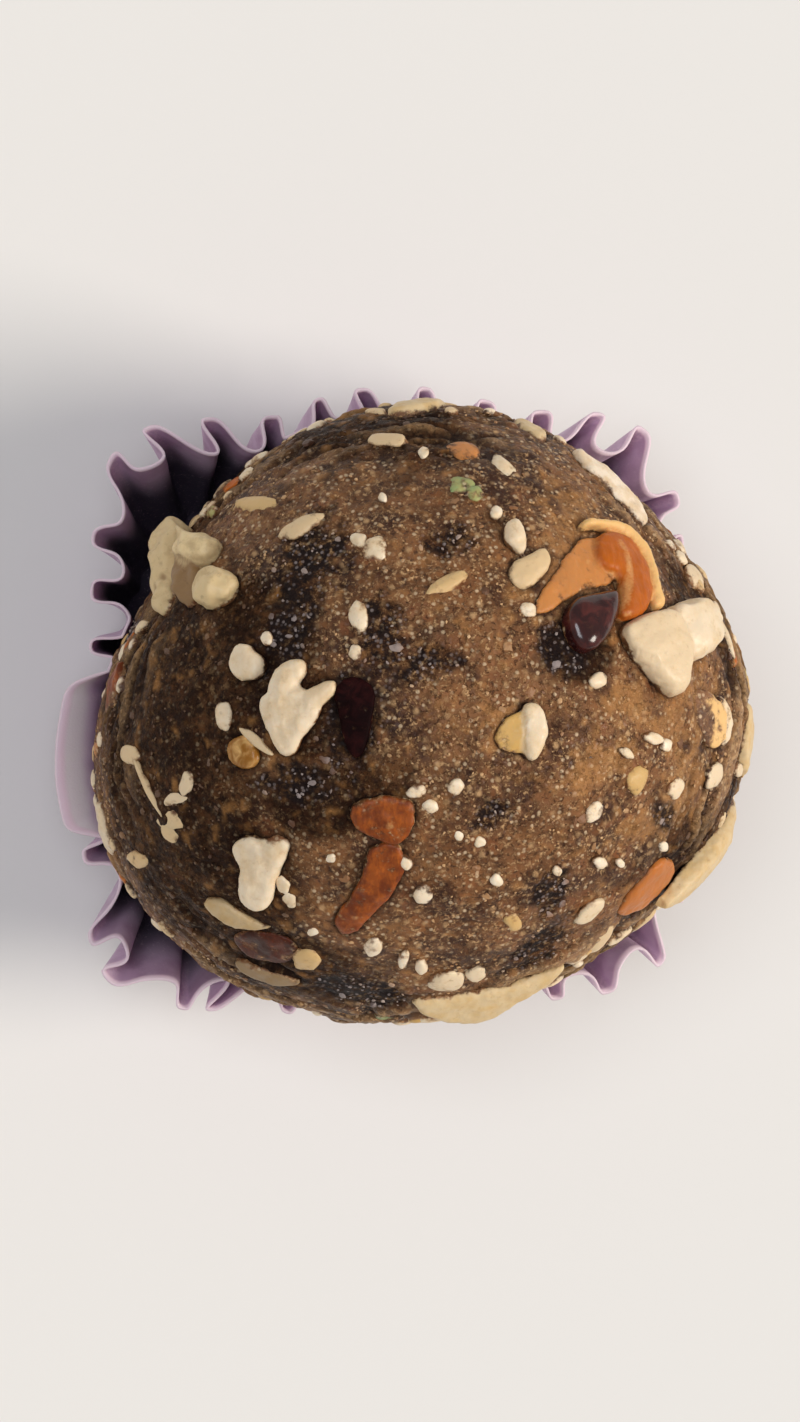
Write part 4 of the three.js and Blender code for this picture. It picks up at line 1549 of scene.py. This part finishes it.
def raisin_material(name, skin, lit, roughness, specular, coat):
    """Dried fruit: a dark, sticky, wrinkled skin, with painted light on the tops of its wrinkles."""
    material, w, shader = new_material(name)
    smear, dough, _ = clinging_dough(w, -0.25, 0.1)
    wrinkles = w.noise(w.millimetres(), 0.9, 3, 0.5, 0.6)
    # Painted light: the lit colour on the tops of the wrinkles.
    colour = w.mix(w.step(wrinkles, 0.4, 0.8), skin, lit)
    w.feed(shader.inputs["Base Color"], w.mix(smear, colour, dough))
    shader.inputs["Roughness"].default_value = roughness
    shader.inputs["Specular IOR Level"].default_value = specular
    shader.inputs["Coat Weight"].default_value = coat
    shader.inputs["Coat Roughness"].default_value = 0.13
    let_light_in(shader, 0.1, (1.0, 0.3, 0.2), 0.8)
    add_bump(w, shader, wrinkles, 0.06)
    return material


def crumb_material():
    """Loose nut meal: each crumb has its own tone, from date brown to cream."""
    look = bpy.context.scene.ladoo_dough
    material, w, shader = new_material("crumbs")
    place = w.millimetres()
    tones = w.add("ShaderNodeValToRGB", {0: w.value("shade")})
    elements = tones.color_ramp.elements
    stops = {0.0: look.dark, 0.2: look.middle, 0.45: look.crumb, 0.8: look.light, 1.0: look.pale}
    while len(elements) < len(stops):
        elements.new(0.5)
    for element, (at, colour) in zip(elements, stops.items()):
        element.position = at
        element.color = (*colour, 1)
    stain = w.step(w.noise(place, 0.35, 3), 0.5, 0.72, 0, 0.6)
    colour = w.mix(stain, tones.outputs["Color"], look.middle)
    # Crumbs darken in the same zones: partly more date, partly painted shade.
    colour = w.mix(w.times(w.value("rich_and_shaded"), 0.85), colour, look.dark)
    # Crumbs on date patches take the speck colour, partly painted glints.
    colour = w.mix(w.times(w.value("date"), 0.8), colour, look.specks_and_glints)
    w.feed(shader.inputs["Base Color"], colour)
    shader.inputs["Roughness"].default_value = 0.5
    add_bump(w, shader, w.noise(place, 0.15, 2), 0.03)
    return material


def paper_material():
    """Thin dyed paper: fibres and rubbed crests, with a painted highlight along the rim's top,
    painted light on the plain stretch and painted shade deep inside the cup.
    """
    look = bpy.context.scene.ladoo_case
    material, w, shader = new_material("lilac_paper")
    place = w.millimetres()
    height = w.value("height")
    fibres = w.noise(w.drawn_out(place, (1, 1, 0.25)), 0.16, 4, 0.65)
    colour = w.mix(w.step(w.noise(place, 2.2, 4), 0.35, 0.68), look.paper, look.paper_deep)
    crest = w.step(w.value("crest"), 0.86, 1.0, 0, 0.45)
    colour = w.mix(w.times(crest, w.step(fibres, 0.35, 0.6)), colour, look.paper_edge_and_highlight)
    # Painted shade: the inner wall darkens toward its base, where the ball shades it.
    deep = w.times(w.step(height, 0.92, 0.55, 0, 0.92), w.value("inner"))
    colour = w.mix(deep, colour, look.paper_painted_shade)
    # Painted light: the top of the plain stretch, as if lit from above.
    colour = w.mix(w.step(w.value("plain"), 0.25, 0.6, 0, 0.9), colour, look.paper_painted_light)
    # Painted highlight along the top of the rim.
    colour = w.mix(w.step(height, 0.965, 0.985), colour, look.paper_edge_and_highlight)
    colour = w.mix(w.step(fibres, 0.56, 0.72, 0, 0.3), colour, look.paper_edge_and_highlight)
    w.feed(shader.inputs["Base Color"], colour)
    shader.inputs["Roughness"].default_value = 0.62
    let_light_in(shader, 0.5, (1.0, 0.85, 1.0), 0.4)
    add_bump(w, shader, fibres, 0.02)
    return material


# ---- properties ----


def colour_property(name, description, value):
    return FloatVectorProperty(name=name, description=description, subtype="COLOR", size=3,
                               min=0, max=1, default=srgb(*value))


class LADOO_PG_dough(bpy.types.PropertyGroup):
    """The dough and its crumbs."""

    relief: FloatProperty(name="Relief", description="How rough the rolled surface is",
                          default=1.0, min=0, max=2, subtype="FACTOR")
    crumbs: FloatProperty(name="Crumbs", description="How thickly loose nut meal lies on the dough",
                          default=1.0, min=0, max=1.2, subtype="FACTOR")
    hidden_dates: IntProperty(name="Hidden date patches",
                              description="Dark patches on the sides that the picture doesn't show",
                              default=14, min=0, max=60)
    dark: colour_property("Dark", "The darkest dough", (64, 33, 15))
    middle: colour_property("Middle", "Most of the dough", (138, 92, 54))
    light: colour_property("Light", "Grains of nut meal", (210, 168, 120))
    reddish: colour_property("Reddish", "Dough with bits of skin in it", (118, 62, 32))
    # Also the painted shade on the ball's left side and top.
    rich_and_shaded: colour_property("Rich", "Dough with more date in it", (34, 16, 6))
    golden: colour_property("Golden", "Dough stained by golden nuts", (192, 136, 78))
    # Date is also the colour of the painted shade in cracks and beside the pieces.
    date: colour_property("Date", "Bare date skin and the depths of cracks", (28, 19, 19))
    # Pale specks on bare date skin: partly seeds, partly painted glints.
    specks_and_glints: colour_property("Specks and glints", "Sugar specks on bare date skin", (150, 138, 136))
    crumb: colour_property("Crumb", "Loose crumbs of middle tone", (178, 136, 92))
    # Also the palest specks in the dough, which are partly painted glints.
    pale: colour_property("Pale", "The palest crumbs", (236, 208, 170))


class LADOO_PG_nuts(bpy.types.PropertyGroup):
    """The nuts, skins and fruit."""

    cashew: colour_property("Cashew", "Freshly cut cashew", (238, 218, 188))
    cashew_golden: colour_property("Golden cashew", "Roasted sides of nuts", (206, 164, 92))
    walnut: colour_property("Walnut", "Walnut flesh", (234, 208, 158))
    walnut_skin: colour_property("Walnut skin", "The brown skin in its folds", (128, 92, 52))
    seed: colour_property("Seed", "Small pale seeds", (246, 228, 202))
    flake: colour_property("Flake", "Cut faces of sliced almond", (220, 194, 150))
    # Painted light: a paler copy of the flake colour for the slice on the shoulder.
    flake_lit: colour_property("Lit flake", "The freshest cut of the slices", (250, 232, 208))
    dull: colour_property("Dull flake", "Slices that a film of dough covers", (104, 72, 42))
    almond_skin: colour_property("Almond skin", "Brown almond skin", (170, 88, 30))
    almond_deep: colour_property("Deep skin", "Where the brown skin is darkest", (96, 40, 18))
    almond_dark: colour_property("Dark skin", "Skin that is nearly black", (46, 18, 8))
    almond_gold: colour_property("Golden skin", "Soaked, orange almond skin", (190, 98, 16))
    almond_flesh: colour_property("Almond flesh", "Flesh where the skin is gone", (236, 190, 124))
    pistachio: colour_property("Pistachio", "Green pistachio flesh", (144, 164, 106))
    raisin: colour_property("Raisin", "Dark raisin skin", (22, 8, 9))
    # Painted light on the ridges of the dark raisin; also the sticky raisin's own skin.
    raisin_lit: colour_property("Raisin ridges", "Ridges of the dark skin", (48, 18, 18))
    # Painted light on the ridges of the sticky raisin.
    raisin_red_lit: colour_property("Lit red raisin", "Ridges of the sticky, reddish raisin", (84, 36, 32))
    raisin_golden: colour_property("Golden raisin", "Pale raisin skin", (146, 96, 36))


class LADOO_PG_case(bpy.types.PropertyGroup):
    """The paper case."""

    thickness: FloatProperty(name="Paper thickness", description="Thickness of the paper",
                             default=0.17 * MM, min=0.05 * MM, max=0.4 * MM,
                             unit="LENGTH", precision=5)
    clearance: FloatProperty(name="Clearance", description="How far the pleats keep off the dough",
                             default=0.3 * MM, min=0, max=1 * MM, unit="LENGTH", precision=5)
    paper: colour_property("Paper", "The dyed paper", (206, 182, 204))
    paper_deep: colour_property("Deep paper", "Where the dye is stronger", (186, 156, 182))
    # Painted shade deep inside the cup, on the inner wall.
    paper_painted_shade: colour_property("Inside", "The darker dye low on the wall", (40, 34, 54))
    # Painted light on the top of the plain stretch, which has no pleats.
    paper_painted_light: colour_property("Painted light on plain paper", "Where the wall has no pleats", (240, 232, 236))
    # Pale fibres and rubbed crests, and the painted highlight along the rim's top.
    paper_edge_and_highlight: colour_property("Cut edge", "The pale cut edge and rubbed crests", (228, 204, 216))


class LADOO_PG_stage(bpy.types.PropertyGroup):
    """The floor, the lights and the view."""

    key: FloatProperty(name="Key light", description="Strength of the warm light from the right",
                       default=2.2, min=0, max=20)
    fill: FloatProperty(name="Fill light", description="Strength of the cool light from the left",
                        default=1.0, min=0, max=20)
    lens: FloatProperty(name="Lens", description="Focal length for a 36 mm wide picture",
                        default=460, min=50, max=2000)
    floor: colour_property("Floor", "The pale floor", (226, 225, 223))


# ---- operators ----


class LADOO_OT_cashews(bpy.types.Operator):
    """Make the pieces of cashew"""

    bl_idname = "ladoo.cashews"
    bl_label = "Cashews"

    def execute(self, context):
        look = context.scene.ladoo_nuts
        fresh = nut_material("cashew", look.cashew, look.cashew_golden, 1.4, 0.42, 0.02, 0.16)
        stained = nut_material("cashew_stained", look.cashew, look.almond_flesh,
                               0.7, 0.42, 0.2, 0.5)
        make_pieces("cashew", fresh, {"cashew_golden": stained})
        return {"FINISHED"}


class LADOO_OT_walnuts(bpy.types.Operator):
    """Make the pieces of walnut"""

    bl_idname = "ladoo.walnuts"
    bl_label = "Walnuts"

    def execute(self, context):
        look = context.scene.ladoo_nuts
        kernel = nut_material("walnut", look.walnut, look.walnut_skin, 0.9, 0.46, 0.08, 0.3)
        make_pieces("walnut", kernel)
        return {"FINISHED"}


class LADOO_OT_flakes(bpy.types.Operator):
    """Make the slices of almond"""

    bl_idname = "ladoo.flakes"
    bl_label = "Almond slices"

    def execute(self, context):
        look = context.scene.ladoo_nuts
        cream = flake_material("almond_flake", look.flake)
        # A paler copy of the flake: painted light on the slice on the shoulder.
        pale = flake_material("almond_lit_flake", look.flake_lit)
        make_pieces("flake", cream, {"flake_shoulder": pale})
        return {"FINISHED"}


class LADOO_OT_almonds(bpy.types.Operator):
    """Make the chunks of almond that still have their skin"""

    bl_idname = "ladoo.almonds"
    bl_label = "Almond chunks"

    def execute(self, context):
        look = context.scene.ladoo_nuts
        brown = skin_material("almond_skin", look.almond_skin, look.almond_deep, look.almond_flesh)
        golden = skin_material("almond_golden_skin", look.almond_gold, look.almond_skin,
                               look.almond_flesh, -0.1, 0.15)
        dark = skin_material("almond_dark_skin", look.almond_deep, look.almond_dark,
                             look.almond_skin, -0.05, 0.3)
        special = {"almond_gold": golden, "almond_side": golden, "almond_skin": dark}
        make_pieces("almond", brown, special)
        return {"FINISHED"}


class LADOO_OT_raisins(bpy.types.Operator):
    """Make the raisins"""

    bl_idname = "ladoo.raisins"
    bl_label = "Raisins"

    def execute(self, context):
        look = context.scene.ladoo_nuts
        dark = raisin_material("raisin", look.raisin, look.raisin_lit, 0.6, 0.03, 0)
        berry = raisin_material("raisin_sticky", look.raisin_lit, look.raisin_red_lit, 0.24, 0.1, 0.8)
        # Almond flesh is the painted light on the golden raisin's wrinkles.
        golden = raisin_material("raisin_golden", look.raisin_golden, look.almond_flesh,
                                 0.3, 0.1, 0.2)
        make_pieces("raisin", dark, {"raisin_berry": berry, "raisin_golden": golden})
        return {"FINISHED"}


class LADOO_OT_dough(bpy.types.Operator):
    """Make the ball of dough, pressed round every piece made so far"""

    bl_idname = "ladoo.dough"
    bl_label = "Dough"

    def execute(self, context):
        look = context.scene.ladoo_dough
        dough = make_dough(random.Random(DOUGH_SEED), look.relief, look.hidden_dates)
        finish_piece(dough, dough_material(), "dough", ["ladoo"])
        return {"FINISHED"}


class LADOO_OT_bits(bpy.types.Operator):
    """Make the seeds, nut bits, pistachio and crumbs on the dough"""

    bl_idname = "ladoo.bits"
    bl_label = "Seeds and crumbs"

    def execute(self, context):
        look = context.scene.ladoo_nuts
        materials = {
            "nut_bits": nut_material("nut_bits", look.cashew, look.cashew_golden,
                                     0.9, 0.44, 0.06, 0.3),
            "seeds": nut_material("seed", look.seed, look.cashew_golden, 0.8, 0.4, 0.05, 0.2),
            "pistachio_bits": nut_material("pistachio", look.pistachio, look.cashew_golden,
                                           0.7, 0.48, 0.1, 0.7),
            "almond_bits": skin_material("almond_bit", look.almond_gold, look.almond_skin,
                                         look.almond_flesh),
        }
        dice = random.Random(BITS_SEED)
        for name, kind in BITS.items():
            finish_piece(make_bits(name, dice), materials[name], kind.slot)
        crumbs = make_crumbs(dice, context.scene.ladoo_dough.crumbs)
        finish_piece(crumbs, crumb_material(), "dough")
        return {"FINISHED"}


class LADOO_OT_case(bpy.types.Operator):
    """Make the pleated paper case"""

    bl_idname = "ladoo.case"
    bl_label = "Paper case"

    def execute(self, context):
        look = context.scene.ladoo_case
        case = make_case(random.Random(CASE_SEED), look.thickness / MM, look.clearance / MM)
        finish_piece(case, paper_material(), "paper", ["paper_case"])
        return {"FINISHED"}


FLOOR_HALF_SIZE = 3000
SENSOR_WIDTH = 36
AIM_TO_LEFT = 1.1  # the ball's middle stands this far right of the picture's
LIGHT_SPREAD = 24  # in degrees, for soft shadows
KEY_FROM = (0.85, -0.1, 0.85)
KEY_COLOUR = (1.0, 0.92, 0.82)
FILL_FROM = (-0.4, 0.15, 1.0)
FILL_COLOUR = (0.9, 0.94, 1.0)
ROOM_COLOUR = (1.0, 0.98, 0.96)
ROOM_STRENGTH = 0.34


def add_sun(name, way, strength, colour):
    sun = bpy.data.lights.new(name, "SUN")
    sun.energy = strength
    sun.color = colour
    sun.angle = math.radians(LIGHT_SPREAD)
    holder = bpy.data.objects.new(name, sun)
    bpy.context.scene.collection.objects.link(holder)
    holder.rotation_mode = "QUATERNION"
    holder.rotation_quaternion = Vector(way).to_track_quat("Z", "Y")


def add_room_light():
    world = bpy.data.worlds.new("studio")
    world.use_nodes = True
    background = world.node_tree.nodes["Background"]
    background.inputs["Color"].default_value = (*ROOM_COLOUR, 1)
    background.inputs["Strength"].default_value = ROOM_STRENGTH
    bpy.context.scene.world = world


def add_camera(lens):
    camera = bpy.data.cameras.new("view")
    camera.sensor_fit = "HORIZONTAL"
    camera.sensor_width = SENSOR_WIDTH
    camera.lens = lens
    camera.clip_start = 0.01
    camera.clip_end = 20
    holder = bpy.data.objects.new("view", camera)
    bpy.context.scene.collection.objects.link(holder)
    eye = BALL_MIDDLE - ACROSS * AIM_TO_LEFT + SIGHT * EYE_DISTANCE
    placed = Matrix(np.column_stack([ACROSS, UPWARD, SIGHT]).tolist()).to_4x4()
    placed.translation = Vector(eye * MM)
    holder.matrix_world = placed
    bpy.context.scene.camera = holder


class LADOO_OT_stage(bpy.types.Operator):
    """Make the floor, the lights and the view"""

    bl_idname = "ladoo.stage"
    bl_label = "Stage"

    def execute(self, context):
        look = context.scene.ladoo_stage
        half = FLOOR_HALF_SIZE
        corners = [(-half, -half, 0), (half, -half, 0), (half, half, 0), (-half, half, 0)]
        floor = new_object("floor", corners, [[0, 1, 2, 3]])
        material, _, shader = new_material("floor")
        shader.inputs["Base Color"].default_value = (*look.floor, 1)
        shader.inputs["Roughness"].default_value = 0.7
        floor.data.materials.append(material)
        add_sun("key", KEY_FROM, look.key, KEY_COLOUR)
        add_sun("fill", FILL_FROM, look.fill, FILL_COLOUR)
        add_room_light()
        context.scene.view_settings.view_transform = "Standard"
        add_camera(look.lens)
        return {"FINISHED"}


# ---- panel ----

STEPS = (
    LADOO_OT_cashews,
    LADOO_OT_walnuts,
    LADOO_OT_flakes,
    LADOO_OT_almonds,
    LADOO_OT_raisins,
    LADOO_OT_dough,
    LADOO_OT_bits,
    LADOO_OT_case,
    LADOO_OT_stage,
)
LOOKS = {
    "ladoo_dough": LADOO_PG_dough,
    "ladoo_nuts": LADOO_PG_nuts,
    "ladoo_case": LADOO_PG_case,
    "ladoo_stage": LADOO_PG_stage,
}


class LADOO_PT_sidebar(bpy.types.Panel):
    """Every step of the sweet, with its sizes and colours"""

    bl_label = "Ladoo"
    bl_space_type = "VIEW_3D"
    bl_region_type = "UI"
    bl_category = "Ladoo"

    def draw(self, context):
        steps = self.layout.column(align=True)
        for step in STEPS:
            steps.operator(step.bl_idname)
        for label, looks in LOOKS.items():
            box = self.layout.box()
            for name in looks.__annotations__:
                box.prop(getattr(context.scene, label), name)


CLASSES = (*LOOKS.values(), *STEPS, LADOO_PT_sidebar)


def register():
    for made in CLASSES:
        bpy.utils.register_class(made)
    for label, looks in LOOKS.items():
        setattr(bpy.types.Scene, label, PointerProperty(type=looks))


def unregister():
    for label in LOOKS:
        delattr(bpy.types.Scene, label)
    for made in reversed(CLASSES):
        bpy.utils.unregister_class(made)


def main():
    register()
    for step in STEPS:
        group, name = step.bl_idname.split(".")
        getattr(getattr(bpy.ops, group), name)()


if __name__ == "__main__":
    main()
